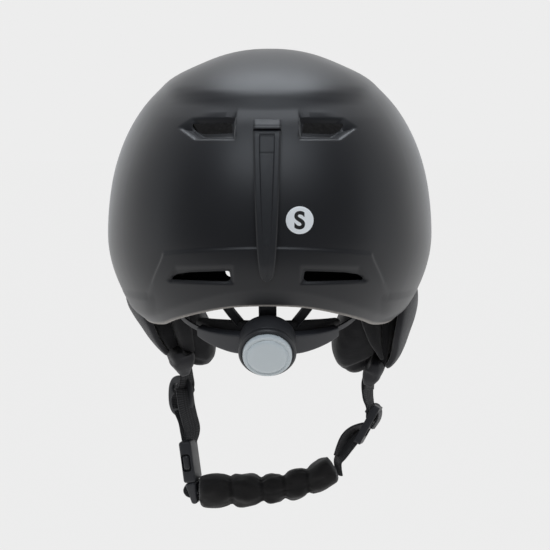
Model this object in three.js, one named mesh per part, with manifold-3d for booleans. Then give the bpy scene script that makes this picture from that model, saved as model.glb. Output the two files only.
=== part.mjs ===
// Ski helmet with a ratchet-dial fit system, soft ear pads, a goggle-strap clip and a buckled chin strap.
// Millimetres, +Z up. The wearer faces -Y, so +X is the wearer's left and +Y is the back of the head.
// The origin is the crown contact: the middle of the flat lower face of the crown pad.
import * as THREE from 'three';
import { mergeVertices } from 'three/addons/utils/BufferGeometryUtils.js';
import Module from 'manifold-3d';

const wasm = await Module();
wasm.setup();

// ---- Driving dimensions of the shell and the foam ----
const SHELL_TOP = 34;
const SHELL_HALF_WIDTH = 109.5;
const SHELL_HALF_LENGTH = 131;
const WIDEST_Z = -89;
const SHELL_WALL = 3;
const FOAM_GAP = 0.6;
const PLAN_POWER = 2.25;
const PROFILE_POWER = 2.2;
const SHELL_TUCK = 134;
const CAVITY_TUCK = 204;
const CAVITY_TOP = 8;
const CAVITY_HALF_WIDTH = 81;
const CAVITY_HALF_LENGTH = 105;
const AZIMUTH_STEPS = 48;
const UPPER_ROWS = 8;
const LOWER_ROWS = 4;

// Height of the lower edge against the direction seen from above: degrees from the back, millimetres.
const SHELL_RIM = [[0, -135], [11, -136], [17, -138], [24, -143], [37, -148], [54, -139],
  [90, -126.5], [125, -117], [150, -104], [180, -101]];
const FOAM_RIM = [[0, -126], [45, -126], [66, -116], [100, -114], [125, -108], [150, -99], [180, -97]];

// Vents: each is a straight slot along Y, mirrored to the other side: x range, z range, front or back.
const VENTS = [
  { x: [22, 48], z: [-25, -17], back: true },
  { x: [22, 61], z: [-117, -110], back: true },
  { x: [20, 50], z: [-60, -52], back: false },
];
const VENT_CORNER = 2.5;
const VENT_REACH = 170;

// ---- Driving dimensions of the fit system, in its own tilted frame ----
// Its X runs across, its Y out of the back of the head through the dial, its Z up out of the band's plane.
const FIT_CENTRE = [0, 42.9, -121];
const FIT_TILT = 32;
const RACK_RADIUS = 66;
const RACK_HALF_WALL = 0.8;
const RACK_TAIL = [2.8, 5];
const RACK_ROOT = -2.3;
const RACK_END = 84;
const RACK_STEP_AT = 12;
const RACK_TAIL_END = -13;
const CHANNEL_HALF_HEIGHT = 5.3;
const CHANNEL_HALF_WALL = 1.4;
const WING_END = 40;
const WING_HALF_WALL = 3;
const HOUSING_RADIUS = 18.3;
const HOUSING_NEAR = 62;
const HOUSING_FAR = 77;
const PINION_RADIUS = 2.5;
const SHAFT_RADIUS = 2;
const DIAL_RADIUS = 15.7;
const DIAL_FACE = 85;

// ---- Driving dimensions of the chin strap ----
const STRAP_Y = -8;
const WEBBING_WIDTH = 15;
const WEBBING_WALL = 1.6;
const LOCK_TURN = 32;

// ---- Colours ----
const finish = (color, roughness, metalness = 0) =>
  new THREE.MeshStandardMaterial({ color, roughness, metalness });
const shellPlastic = () => finish(0x3a3b40, 0.55);
const foamBlack = () => finish(0x1c1c1e, 0.95);
const padFabric = () => finish(0x2a2a2d, 0.95);
const earFabric = () => finish(0x4a4b50, 0.95);
const webbing = () => finish(0x35363a, 0.85);
const darkPlastic = () => finish(0x232427, 0.5);
const greyPlastic = () => finish(0x55575c, 0.5);
const dialPlastic = () => finish(0x9aa4b0, 0.45);
const stickerFilm = () => finish(0xeeeeea, 0.4);

const helmet = new THREE.Group();
const degrees = Math.PI / 180;

function addNode(parent, name, geometry, material) {
  const mesh = new THREE.Mesh(geometry, material);
  mesh.name = name;
  parent.add(mesh);
  return mesh;
}

// ---- Closed solids from surfaces ----
function closedGeometry(points, faces) {
  let volume = 0;
  for (const [a, b, c] of faces) {
    volume += points[a].dot(points[b].clone().cross(points[c]));
  }
  const ordered = volume > 0 ? faces : faces.map(([a, b, c]) => [a, c, b]);
  const geometry = new THREE.BufferGeometry().setFromPoints(points);
  geometry.setIndex(ordered.flat());
  return mergeVertices(geometry, 1e-4);
}

// A slab between two surfaces over the unit square; outer and inner take (u, v) and give a point.
function slab(outer, inner, stepsU, stepsV) {
  const points = [];
  const faces = [];
  const width = stepsV + 1;
  const half = (stepsU + 1) * width;
  for (const surface of [outer, inner]) {
    for (let i = 0; i <= stepsU; i += 1) {
      for (let j = 0; j <= stepsV; j += 1) {
        points.push(surface(i / stepsU, j / stepsV));
      }
    }
  }
  const quad = (a, b, c, d) => faces.push([a, b, c], [a, c, d]);
  for (let i = 0; i < stepsU; i += 1) {
    for (let j = 0; j < stepsV; j += 1) {
      const a = i * width + j;
      quad(a, a + 1, a + width + 1, a + width);
      quad(half + a, half + a + width, half + a + width + 1, half + a + 1);
    }
  }
  for (let i = 0; i < stepsU; i += 1) {
    const low = i * width;
    const high = low + stepsV;
    quad(low, low + width, half + low + width, half + low);
    quad(high + width, high, half + high, half + high + width);
  }
  for (let j = 0; j < stepsV; j += 1) {
    const last = stepsU * width + j;
    quad(j + 1, j, half + j, half + j + 1);
    quad(last, last + 1, half + last + 1, half + last);
  }
  return closedGeometry(points, faces);
}

// A section swept along a list of stations {at, across, through}; section is a list of [across, through].
function sweep(stations, section) {
  const points = [];
  const faces = [];
  const count = section.length;
  for (const { at, across, through, scale = 1 } of stations) {
    for (const [a, t] of section) {
      points.push(at.clone().addScaledVector(across, a * scale).addScaledVector(through, t * scale));
    }
  }
  for (let i = 0; i + 1 < stations.length; i += 1) {
    for (let j = 0; j < count; j += 1) {
      const a = i * count + j;
      const b = i * count + (j + 1) % count;
      faces.push([a, b, b + count], [a, b + count, a + count]);
    }
  }
  const last = (stations.length - 1) * count;
  for (let j = 1; j + 1 < count; j += 1) {
    faces.push([0, j + 1, j], [last, last + j, last + j + 1]);
  }
  return closedGeometry(points, faces);
}

function toSolid(geometry) {
  const bare = geometry.clone();
  bare.deleteAttribute('normal');
  bare.deleteAttribute('uv');
  const merged = mergeVertices(bare, 1e-4);
  return new wasm.Manifold(new wasm.Mesh({
    numProp: 3,
    vertProperties: new Float32Array(merged.attributes.position.array),
    triVerts: new Uint32Array(merged.index.array),
  }));
}

function toGeometry(solid) {
  const mesh = solid.getMesh();
  const geometry = new THREE.BufferGeometry();
  geometry.setAttribute('position', new THREE.BufferAttribute(mesh.vertProperties, 3));
  geometry.setIndex(new THREE.BufferAttribute(mesh.triVerts, 1));
  return geometry;
}

// A smooth value through a table of [position, value] rows.
function through(table, position) {
  const last = table.length - 1;
  let k = 0;
  while (k < last - 1 && position > table[k + 1][0]) {
    k += 1;
  }
  const slope = (i) => {
    const before = table[Math.max(i - 1, 0)];
    const after = table[Math.min(i + 1, last)];
    return i === 0 || i === last ? 0 : (after[1] - before[1]) / (after[0] - before[0]);
  };
  const [x0, y0] = table[k];
  const [x1, y1] = table[k + 1];
  const run = x1 - x0;
  const t = (position - x0) / run;
  const stay = y0 * (2 * t ** 3 - 3 * t ** 2 + 1) + y1 * (3 * t ** 2 - 2 * t ** 3);
  return stay + run * (slope(k) * (t ** 3 - 2 * t ** 2 + t) + slope(k + 1) * (t ** 3 - t ** 2));
}

// ---- The dome that shell and foam follow ----
const insetLayer = (inset) => ({
  top: SHELL_TOP - inset,
  halfWidth: SHELL_HALF_WIDTH - inset,
  halfLength: SHELL_HALF_LENGTH - inset,
  tuck: SHELL_TUCK,
});
const cavityLayer = (inset) => ({
  top: CAVITY_TOP - inset,
  halfWidth: CAVITY_HALF_WIDTH - inset,
  halfLength: CAVITY_HALF_LENGTH - inset,
  tuck: CAVITY_TUCK,
});

// Share of the full plan size that the dome has at a height.
function planShare(layer, z) {
  if (z < WIDEST_Z) {
    return 1 - ((z - WIDEST_Z) / layer.tuck) ** 2;
  }
  const rise = (z - WIDEST_Z) / (layer.top - WIDEST_Z);
  return Math.max(1 - rise ** PROFILE_POWER, 0) ** (1 / PROFILE_POWER);
}

const power = (value, exponent) => Math.sign(value) * Math.abs(value) ** exponent;

// Plan direction: the angle runs from the back towards the wearer's left.
function planPoint(layer, angle, z) {
  const share = planShare(layer, z);
  const x = layer.halfWidth * power(Math.sin(angle), 2 / PLAN_POWER);
  const y = layer.halfLength * power(Math.cos(angle), 2 / PLAN_POWER);
  return new THREE.Vector3(x * share, y * share, z);
}

const bearing = (point) => Math.abs(Math.atan2(point.x, point.y)) / degrees;

function domeColumn(layer, rim, angle) {
  const edge = through(rim, bearing(planPoint(layer, angle, WIDEST_Z)));
  const column = [];
  for (let i = 1; i <= UPPER_ROWS; i += 1) {
    const lean = (i / UPPER_ROWS) * 90 * degrees;
    const rise = Math.cos(lean) ** (2 / PROFILE_POWER);
    column.push(planPoint(layer, angle, WIDEST_Z + (layer.top - WIDEST_Z) * rise));
  }
  for (let i = 1; i <= LOWER_ROWS; i += 1) {
    column.push(planPoint(layer, angle, WIDEST_Z + (edge - WIDEST_Z) * (i / LOWER_ROWS)));
  }
  return column;
}

function domeSolid(outerLayer, innerLayer, rim) {
  const points = [];
  const faces = [];
  const rows = UPPER_ROWS + LOWER_ROWS;
  for (const layer of [outerLayer, innerLayer]) {
    points.push(new THREE.Vector3(0, 0, layer.top));
    for (let i = 0; i < AZIMUTH_STEPS; i += 1) {
      points.push(...domeColumn(layer, rim, (i / AZIMUTH_STEPS) * 360 * degrees));
    }
  }
  const half = AZIMUTH_STEPS * rows + 1;
  for (let i = 0; i < AZIMUTH_STEPS; i += 1) {
    const here = 1 + i * rows;
    const next = 1 + ((i + 1) % AZIMUTH_STEPS) * rows;
    faces.push([0, here, next], [half, half + next, half + here]);
    for (let j = 0; j + 1 < rows; j += 1) {
      faces.push([here + j, here + j + 1, next + j + 1], [here + j, next + j + 1, next + j]);
      faces.push([half + here + j, half + next + j + 1, half + here + j + 1]);
      faces.push([half + here + j, half + next + j, half + next + j + 1]);
    }
    const a = here + rows - 1;
    const b = next + rows - 1;
    faces.push([a, half + a, half + b], [a, half + b, b]);
  }
  return closedGeometry(points, faces);
}

function roundedOutline(halfX, halfY, corner) {
  const shape = new THREE.Shape();
  shape.moveTo(-halfX + corner, -halfY);
  shape.lineTo(halfX - corner, -halfY);
  shape.absarc(halfX - corner, -halfY + corner, corner, -Math.PI / 2, 0);
  shape.lineTo(halfX, halfY - corner);
  shape.absarc(halfX - corner, halfY - corner, corner, 0, Math.PI / 2);
  shape.lineTo(-halfX + corner, halfY);
  shape.absarc(-halfX + corner, halfY - corner, corner, Math.PI / 2, Math.PI);
  shape.lineTo(-halfX, -halfY + corner);
  shape.absarc(-halfX + corner, -halfY + corner, corner, Math.PI, Math.PI * 1.5);
  return shape;
}

function extruded(shape, depth, curveSegments = 4) {
  const geometry = new THREE.ExtrudeGeometry(shape, { depth, bevelEnabled: false, curveSegments });
  return toGeometry(toSolid(geometry));
}

function ventCutter({ x, z, back }, side) {
  const outline = roundedOutline((x[1] - x[0]) / 2, (z[1] - z[0]) / 2, VENT_CORNER);
  const cutter = extruded(outline, VENT_REACH, 2);
  cutter.rotateX(back ? -Math.PI / 2 : Math.PI / 2);
  cutter.translate(side * (x[0] + x[1]) / 2, 0, (z[0] + z[1]) / 2);
  return toSolid(cutter);
}

function withVents(geometry) {
  let solid = toSolid(geometry);
  for (const vent of VENTS) {
    for (const side of [-1, 1]) {
      solid = solid.subtract(ventCutter(vent, side));
    }
  }
  return toGeometry(solid);
}

function buildShellAndFoam() {
  const shell = domeSolid(insetLayer(0), insetLayer(SHELL_WALL), SHELL_RIM);
  addNode(helmet, 'outer_shell', withVents(shell), shellPlastic());
  const foam = domeSolid(insetLayer(SHELL_WALL + FOAM_GAP), cavityLayer(0), FOAM_RIM);
  addNode(helmet, 'impact_liner', withVents(foam), foamBlack());
}

// ---- Comfort pads on the inside of the foam ----
const PAD_GAP = 1.2;

function buildCrownPad() {
  const halfX = 22;
  const halfY = 30;
  const layer = cavityLayer(PAD_GAP);
  const plan = (u, v) => {
    const angle = u * 360 * degrees;
    return [halfX * Math.sin(angle) * v, halfY * Math.cos(angle) * v];
  };
  const roof = (x, y) => {
    const reach = Math.hypot(x / layer.halfWidth, y / layer.halfLength);
    const rise = (1 - reach ** PROFILE_POWER) ** (1 / PROFILE_POWER);
    return WIDEST_Z + (layer.top - WIDEST_Z) * rise;
  };
  const points = [];
  const faces = [];
  const around = 16;
  for (const roofed of [true, false]) {
    points.push(new THREE.Vector3(0, 0, roofed ? roof(0, 0) - 0.4 : 0));
    for (let i = 0; i < around; i += 1) {
      const [x, y] = plan(i / around, 1);
      points.push(new THREE.Vector3(x, y, roofed ? roof(x, y) - 0.4 : 0));
    }
  }
  const half = around + 1;
  for (let i = 0; i < around; i += 1) {
    const a = 1 + i;
    const b = 1 + (i + 1) % around;
    faces.push([0, a, b], [half, half + b, half + a], [a, half + a, half + b], [a, half + b, b]);
  }
  addNode(helmet, 'crown_pad', closedGeometry(points, faces), padFabric());
}

// A pad on the cavity wall between two plan angles and two heights.
function wallPad(name, fromAngle, toAngle, lowZ, highZ, thickness) {
  const at = (layer) => (u, v) => {
    const angle = (fromAngle + (toAngle - fromAngle) * u) * degrees;
    return planPoint(layer, angle, lowZ + (highZ - lowZ) * v);
  };
  const geometry = slab(at(cavityLayer(PAD_GAP)), at(cavityLayer(PAD_GAP + thickness)), 8, 4);
  addNode(helmet, name, geometry, padFabric());
}

function buildComfortPads() {
  buildCrownPad();
  wallPad('brow_pad', 132, 228, -95, -66, 6);
  wallPad('rear_pad', -28, 28, -104, -62, 6);
  wallPad('side_pad_left', 68, 112, -104, -66, 6);
  wallPad('side_pad_right', 248, 292, -104, -66, 6);
}

// ---- Goggle-strap clip down the middle of the back ----
const CLIP_BASE_Z = [-23.4, -15.5];
const CLIP_TIP_Z = -115.6;
const CLIP_GAP = 2.5;
const CLIP_WALL = 3.2;
const CLIP_WIDTHS = [[0, 8.6], [0.35, 7.8], [0.75, 6.4], [0.92, 4.6], [1, 2.2]];

function backPoint(z, standOff) {
  const layer = insetLayer(0);
  const step = 1;
  const here = layer.halfLength * planShare(layer, z);
  const slope = (layer.halfLength * planShare(layer, z + step) - here) / step;
  const normal = new THREE.Vector3(0, 1, -slope).normalize();
  return new THREE.Vector3(0, here, z).addScaledVector(normal, standOff);
}

function buildGoggleClip() {
  const hinge = 1.1;
  const tongueTop = CLIP_BASE_Z[0] - hinge;
  const tongue = (standOff) => (u, v) => {
    const point = backPoint(tongueTop + (CLIP_TIP_Z - tongueTop) * u, standOff);
    return point.setX(through(CLIP_WIDTHS, u) * (2 * v - 1));
  };
  const clip = slab(tongue(CLIP_GAP + CLIP_WALL), tongue(CLIP_GAP), 14, 2);
  addNode(helmet, 'goggle_clip', clip, darkPlastic());
  const base = (standOff) => (u, v) => {
    const point = backPoint(CLIP_BASE_Z[1] + (CLIP_BASE_Z[0] - CLIP_BASE_Z[1]) * u, standOff);
    return point.setX(CLIP_WIDTHS[0][1] * (2 * v - 1));
  };
  addNode(helmet, 'clip_base', slab(base(6), base(0.4), 2, 2), darkPlastic());
  const studZ = -93;
  const studRadius = 4;
  const stud = addNode(helmet, 'clip_stud', new THREE.CylinderGeometry(studRadius, studRadius, 1.7, 12),
    darkPlastic());
  stud.position.copy(backPoint(studZ, 1.3));
}

function buildSizeSticker() {
  const radius = 8.65;
  const film = 0.4;
  const angle = -8.7 * degrees;
  const sticker = addNode(helmet, 'size_sticker', new THREE.CylinderGeometry(radius, radius, film, 20),
    stickerFilm());
  const layer = insetLayer(-0.7);
  const point = planPoint(layer, angle, -78);
  sticker.position.copy(point);
  const normal = new THREE.Vector3(point.x / layer.halfWidth ** 2, point.y / layer.halfLength ** 2, 0);
  sticker.quaternion.setFromUnitVectors(new THREE.Vector3(0, 1, 0), normal.normalize());
}

// ---- Ear pads: an outer flap, a thick inner cushion and a sewn sleeve at the tip for the strap ----
// Each row is [z, x of the outer face] or [z, outer x, inner x], on the wearer's left; the right has its own.
const EARS = {
  left: {
    side: 1,
    flap: [[-121, 91], [-134, 93.5], [-146, 92.5], [-159, 86], [-167, 80], [-174, 71]],
    cushion: [[-126, 81, 70], [-145, 73, 54], [-160, 66, 42], [-172, 62, 40], [-179, 59, 47]],
    strap: [[-125, 83.5], [-145, 79], [-160, 72.4], [-172.5, 64.6]],
    sleeve: [[-175.3, 69], [-181, 63.5], [-186.4, 60]],
  },
  right: {
    side: -1,
    flap: [[-121, 91], [-134, 95], [-146, 95.5], [-163, 92.5], [-172, 90], [-183.5, 83]],
    cushion: [[-126, 82, 71], [-145, 76, 57], [-162, 70, 46], [-176, 66, 43], [-186, 63, 51]],
    strap: [[-125, 84.5], [-145, 82], [-165, 79], [-183, 76]],
    sleeve: [[-185, 80.5], [-190, 76.5], [-195, 73.5]],
  },
};
const FLAP_WALL = 5;
const FLAP_HALF_LENGTH = 41;
const CUSHION_HALF_LENGTH = 35;
const SIDE_CURVE_RADIUS = 140;
const SLEEVE_WALL = 3.6;

const column = (rows, pick) => rows.map((row, i) => [i / (rows.length - 1), row[pick]]);

function earSolid(rows, side, halfLength, endShare, faceX, stepsU) {
  const surface = (pick) => (u, v) => {
    const z = through(column(rows, 0), u);
    const half = halfLength * (endShare + (1 - endShare) * Math.sqrt(1 - u ** 3));
    const lean = STRAP_Y * u;
    const y = lean + half * (2 * v - 1);
    const bow = (half * (2 * v - 1)) ** 2 / (2 * SIDE_CURVE_RADIUS);
    return new THREE.Vector3(side * (faceX(u, v, pick) - bow), y, z);
  };
  return slab(surface('outer'), surface('inner'), stepsU, 6);
}

function buildEar(name) {
  const { side, flap, cushion, strap, sleeve } = EARS[name];
  const flapFace = (u, v, pick) => through(column(flap, 1), u) - (pick === 'inner' ? FLAP_WALL : 0);
  addNode(helmet, `ear_flap_${name}`, earSolid(flap, side, FLAP_HALF_LENGTH, 0.32, flapFace, 8), earFabric());
  const cushionFace = (u, v, pick) => {
    const outer = through(column(cushion, 1), u);
    const inner = through(column(cushion, 2), u);
    const crown = Math.sqrt(1 - 0.8 * (2 * v - 1) ** 2);
    return pick === 'outer' ? outer : outer - (outer - inner) * crown;
  };
  addNode(helmet, `ear_cushion_${name}`,
    earSolid(cushion, side, CUSHION_HALF_LENGTH, 0.35, cushionFace, 8), padFabric());
  const stations = (rows, lean) => rows.map(([z, x], i) => {
    const next = rows[Math.min(i + 1, rows.length - 1)];
    const last = rows[Math.max(i - 1, 0)];
    const tangent = new THREE.Vector3(side * (next[1] - last[1]), 0, next[0] - last[0]).normalize();
    const across = new THREE.Vector3(0, 1, 0);
    const share = i / (rows.length - 1);
    return {
      at: new THREE.Vector3(side * x, lean ? STRAP_Y * share : STRAP_Y, z),
      across,
      through: tangent.clone().cross(across),
    };
  });
  const bandSection = (width, wall) => [[-width / 2, -wall / 2], [width / 2, -wall / 2],
    [width / 2, wall / 2], [-width / 2, wall / 2]];
  addNode(helmet, `strap_inner_${name}`,
    sweep(stations(strap, true), bandSection(WEBBING_WIDTH, WEBBING_WALL)), webbing());
  addNode(helmet, `strap_sleeve_${name}`,
    sweep(stations(sleeve, false), bandSection(WEBBING_WIDTH + 7, SLEEVE_WALL)), earFabric());
  const rivet = addNode(helmet, `strap_rivet_${name}`, new THREE.CylinderGeometry(4.5, 4.5, 2.4, 12),
    darkPlastic());
  rivet.rotation.z = Math.PI / 2;
  rivet.position.set(side * (strap[0][1] - 2.4), 0, strap[0][0] + 5.4);
}

// ---- Fit system: a cradle with two wings, a dial with its pinion, two racks and three hangers ----
const fitSystem = new THREE.Group();
fitSystem.position.set(...FIT_CENTRE);
fitSystem.rotation.x = -FIT_TILT * degrees;
helmet.add(fitSystem);

// A slab along the band's arc: angles in degrees from the dial, low and high in the band's own height.
function arcSlab(angles, nearRadius, farRadius, low, high, stepsU) {
  const at = (radius) => (u, v) => {
    const share = u * (angles.length - 1);
    const index = Math.min(Math.floor(share), angles.length - 2);
    const angle = angles[index] + (angles[index + 1] - angles[index]) * (share - index);
    const height = low(angle) + (high(angle) - low(angle)) * v;
    return new THREE.Vector3(radius * Math.sin(angle * degrees), radius * Math.cos(angle * degrees), height);
  };
  return slab(at(farRadius), at(nearRadius), stepsU, 1);
}

function buildCradle() {
  const wingHeight = (angle) => 7.2 - 0.8 * Math.abs(angle) / WING_END;
  const wings = arcSlab([-WING_END, WING_END], RACK_RADIUS - WING_HALF_WALL, RACK_RADIUS + WING_HALF_WALL,
    (angle) => -wingHeight(angle), wingHeight, 16);
  const drum = new THREE.CylinderGeometry(HOUSING_RADIUS, HOUSING_RADIUS, HOUSING_FAR - HOUSING_NEAR, 28);
  drum.translate(0, (HOUSING_FAR + HOUSING_NEAR) / 2, 0);
  const channelEnd = WING_END + 4;
  const channel = arcSlab([-channelEnd, channelEnd], RACK_RADIUS - CHANNEL_HALF_WALL,
    RACK_RADIUS + CHANNEL_HALF_WALL, () => -CHANNEL_HALF_HEIGHT, () => CHANNEL_HALF_HEIGHT, 22);
  const pinionRoom = new THREE.CylinderGeometry(3.4, 3.4, 6, 16).translate(0, RACK_RADIUS, 0);
  const shaftRoom = new THREE.CylinderGeometry(2.6, 2.6, 14, 16).translate(0, HOUSING_FAR - 4, 0);
  const cradle = toSolid(wings).add(toSolid(drum)).subtract(toSolid(channel))
    .subtract(toSolid(pinionRoom)).subtract(toSolid(shaftRoom));
  addNode(fitSystem, 'fit_cradle', toGeometry(cradle), greyPlastic());
  const ring = new THREE.LatheGeometry([[16.3, 77.4], [18.3, 77.4], [18.3, 80.4], [16.3, 80.4], [16.3, 77.4]]
    .map(([r, y]) => new THREE.Vector2(r, y)), 28);
  addNode(fitSystem, 'dial_ring', ring, darkPlastic());
  const pad = arcSlab([-44, 44], HOUSING_NEAR - 6, HOUSING_NEAR - 0.7, () => -9, () => 11, 14);
  addNode(fitSystem, 'nape_pad', pad, padFabric());
}

function buildDial() {
  const knob = new THREE.CylinderGeometry(DIAL_RADIUS, DIAL_RADIUS, 6, 28).translate(0, 80.8, 0);
  addNode(fitSystem, 'dial_knob', knob, dialPlastic());
  const cap = new THREE.CylinderGeometry(12, 12.6, DIAL_FACE - 84.1, 28).translate(0, (DIAL_FACE + 84.1) / 2, 0);
  addNode(fitSystem, 'dial_cap', cap, dialPlastic());
  const profile = [[0, 63.6], [PINION_RADIUS, 63.6], [PINION_RADIUS, 68.4], [SHAFT_RADIUS, 68.4],
    [SHAFT_RADIUS, 77.4], [0, 77.4]].map(([r, y]) => new THREE.Vector2(r, y));
  addNode(fitSystem, 'dial_pinion', new THREE.LatheGeometry(profile, 16), darkPlastic());
}

// Each rack is a strip that narrows to a tail over or under the pinion; the right one is the left one
// turned half a turn about the dial's axis.
function buildRack(name, side) {
  const widen = (angle) => THREE.MathUtils.clamp((angle - RACK_STEP_AT) / 1, 0, 1);
  const low = (angle) => RACK_TAIL[0] + (RACK_ROOT - RACK_TAIL[0]) * widen(angle);
  const angles = [RACK_TAIL_END, RACK_STEP_AT, RACK_STEP_AT + 1];
  while (angles[angles.length - 1] < RACK_END - 1) {
    angles.push(Math.min(angles[angles.length - 1] + 6, RACK_END));
  }
  const strip = arcSlab([RACK_TAIL_END, -5, 4, ...angles.slice(1)], RACK_RADIUS - RACK_HALF_WALL,
    RACK_RADIUS + RACK_HALF_WALL, low, () => RACK_TAIL[1], angles.length + 1);
  if (side < 0) {
    strip.rotateY(Math.PI);
  }
  addNode(fitSystem, `rack_${name}`, strip, darkPlastic());
}

// Hangers hold the cradle under the foam; each bends as the cradle moves.
const HANGERS = [
  { name: 'centre', from: [0, 104, -132.4], to: [0, 98.4, -142], half: 5.7 },
  { name: 'left', from: [28, 100, -132.4], to: [19.5, 96, -140], half: 2.8 },
  { name: 'right', from: [-28, 100, -132.4], to: [-19.5, 96, -140], half: 2.8 },
];

function buildHangers() {
  const wall = 1.4;
  for (const { name, from, to, half } of HANGERS) {
    const across = new THREE.Vector3(1, 0, 0);
    const run = new THREE.Vector3(...to).sub(new THREE.Vector3(...from)).normalize();
    const out = run.clone().cross(across).normalize();
    const stations = [0, 0.5, 1].map((share) => ({
      at: new THREE.Vector3(...from).lerp(new THREE.Vector3(...to), share),
      across,
      through: out,
    }));
    const section = [[-half, -wall / 2], [half, -wall / 2], [half, wall / 2], [-half, wall / 2]];
    addNode(helmet, `hanger_${name}`, sweep(stations, section), darkPlastic());
    const plug = addNode(helmet, `hanger_plug_${name}`, new THREE.BoxGeometry(2 * half + 3, 5, 5),
      darkPlastic());
    plug.position.set(from[0], from[1], -129.3);
  }
}

// ---- Chin strap ----
// Stations of a band in the XZ plane; rows are [x, z, turn], where turn swings the band's width from Y.
function bandStations(rows, y = STRAP_Y) {
  return rows.map(([x, z, turn = 0], i) => {
    const next = rows[Math.min(i + 1, rows.length - 1)];
    const last = rows[Math.max(i - 1, 0)];
    const tangent = new THREE.Vector3(next[0] - last[0], 0, next[1] - last[1]).normalize();
    const across = new THREE.Vector3(0, 1, 0).applyAxisAngle(tangent, turn * degrees);
    return { at: new THREE.Vector3(x, y, z), across, through: tangent.clone().cross(across) };
  });
}

const band = (width, wall) => [[-width / 2, -wall / 2], [width / 2, -wall / 2],
  [width / 2, wall / 2], [-width / 2, wall / 2]];

function addBand(name, rows, width = WEBBING_WIDTH, wall = WEBBING_WALL) {
  addNode(helmet, name, sweep(bandStations(rows), band(width, wall)), webbing());
}

// Each root is the short stretch of webbing out of its sleeve, where it bends as the chin strap swings.
function buildStraps() {
  addBand('strap_root_left', [[58.6, -187.4, 0], [58.2, -190.6, 6]]);
  addBand('strap_root_right', [[-72.2, -196, 0], [-70.6, -200.8, -6]]);
  addBand('strap_left', [[58.1, -191.2, 8], [57.5, -197, LOCK_TURN], [56.5, -208, LOCK_TURN],
    [55.6, -220, 20], [55.3, -232.6, 8]]);
  addBand('strap_left_return', [[53, -203.4, LOCK_TURN], [52.6, -208, LOCK_TURN],
    [52, -220, 20], [51.9, -232.6, 8]]);
  addBand('strap_right', [[-70.4, -201.6, -8], [-68.6, -205, -12], [-66.5, -210, -12], [-64.8, -215.5, -5]]);
  addBand('strap_right_lower', [[-61.2, -226, 0], [-53, -230.5, 0], [-48.5, -236.5, 0], [-46.8, -243, 0]]);
  addBand('strap_tail', [[-56, -236, 0], [-51.5, -242.5, 0], [-50, -249, 0], [-50.8, -256, 0]]);
}

// A flat ladder-lock: a rounded plate with a slot either side of its bar.
function ladderLock(halfLength, halfWidth, thickness) {
  const rim = 2.6;
  const barHalf = 1.6;
  const slotLength = halfLength - rim - barHalf;
  let plate = toSolid(extruded(roundedOutline(halfLength, halfWidth, 4), thickness, 3)
    .translate(0, 0, -thickness / 2));
  for (const end of [-1, 1]) {
    const slot = new THREE.BoxGeometry(slotLength, 2 * (halfWidth - rim), 2 * thickness)
      .translate(end * (barHalf + slotLength / 2), 0, 0);
    plate = plate.subtract(toSolid(slot));
  }
  return toGeometry(plate);
}

function buildLadderLocks() {
  const standOff = 3.6;
  const turn = LOCK_TURN * degrees;
  const left = addNode(helmet, 'ladder_lock_left', ladderLock(12, 10.5, 3.4), darkPlastic());
  left.rotation.set(0, Math.PI / 2, -turn, 'ZYX');
  left.position.set(56.8 + standOff * Math.cos(turn), STRAP_Y - standOff * Math.sin(turn), -208);
  const right = addNode(helmet, 'ladder_lock_right', ladderLock(14.6, 10.5, 3.6), darkPlastic());
  right.rotation.set(0, -119 * degrees, 0);
  right.position.set(-66.4, STRAP_Y, -223.6);
}

// Side-release buckle, upright: its width is along Y and its thickness along X.
const BUCKLE_X = 54.5;
const BUCKLE_HALF_WIDTH = 11.5;
const BUCKLE_HALF_WALL = 4.6;
const BUCKLE_TOP = -234.2;
const BUCKLE_MOUTH = -262.4;

function buildBuckleFemale() {
  const height = BUCKLE_TOP - BUCKLE_MOUTH;
  const block = (x, y, z) => new THREE.BoxGeometry(x, y, z);
  const body = toSolid(block(2 * BUCKLE_HALF_WALL, 2 * BUCKLE_HALF_WIDTH, height)
    .translate(0, 0, (BUCKLE_TOP + BUCKLE_MOUTH) / 2));
  const cavity = toSolid(block(6.8, 2 * BUCKLE_HALF_WIDTH - 2.6, 24)
    .translate(0, 0, BUCKLE_MOUTH + 12 - 1));
  const window = toSolid(block(6.2, 40, 11.6).translate(0, 0, -246.5));
  const female = toGeometry(body.subtract(cavity).subtract(window));
  female.translate(BUCKLE_X, STRAP_Y, 0);
  addNode(helmet, 'buckle_female', female, darkPlastic());
}

function buildBuckleMale() {
  const plug = new THREE.Shape();
  plug.moveTo(-9.2, -263.2);
  plug.lineTo(-7.5, -273);
  plug.lineTo(-4.5, -277);
  plug.lineTo(4.5, -277);
  plug.lineTo(7.5, -273);
  plug.lineTo(9.2, -263.2);
  plug.lineTo(2.2, -263.2);
  plug.lineTo(2.2, -243);
  plug.lineTo(-2.2, -243);
  plug.lineTo(-2.2, -263.2);
  const upright = (shape, thickness) => extruded(shape, thickness)
    .translate(0, 0, -thickness / 2)
    .applyMatrix4(new THREE.Matrix4().makeBasis(new THREE.Vector3(0, 1, 0), new THREE.Vector3(0, 0, 1),
      new THREE.Vector3(1, 0, 0)))
    .translate(BUCKLE_X, STRAP_Y, 0);
  addNode(helmet, 'buckle_male', upright(plug, 3.2), darkPlastic());
  for (const [name, side] of [['front', -1], ['rear', 1]]) {
    const finger = new THREE.Shape();
    finger.moveTo(side * 6.2, -262.6);
    finger.lineTo(side * 8.6, -262.6);
    finger.lineTo(side * 9.5, -252);
    finger.lineTo(side * 9.5, -242);
    finger.lineTo(side * 7, -240.5);
    finger.lineTo(side * 6.2, -252);
    addNode(helmet, `buckle_prong_${name}`, upright(finger, 3.2), darkPlastic());
  }
  const tab = [[BUCKLE_X - 1, -278.4, 0], [BUCKLE_X - 1.6, -280.2, 0], [50.8, -280.2, 0]];
  addBand('chin_web_loop', tab, 9, 1.2);
}

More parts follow.
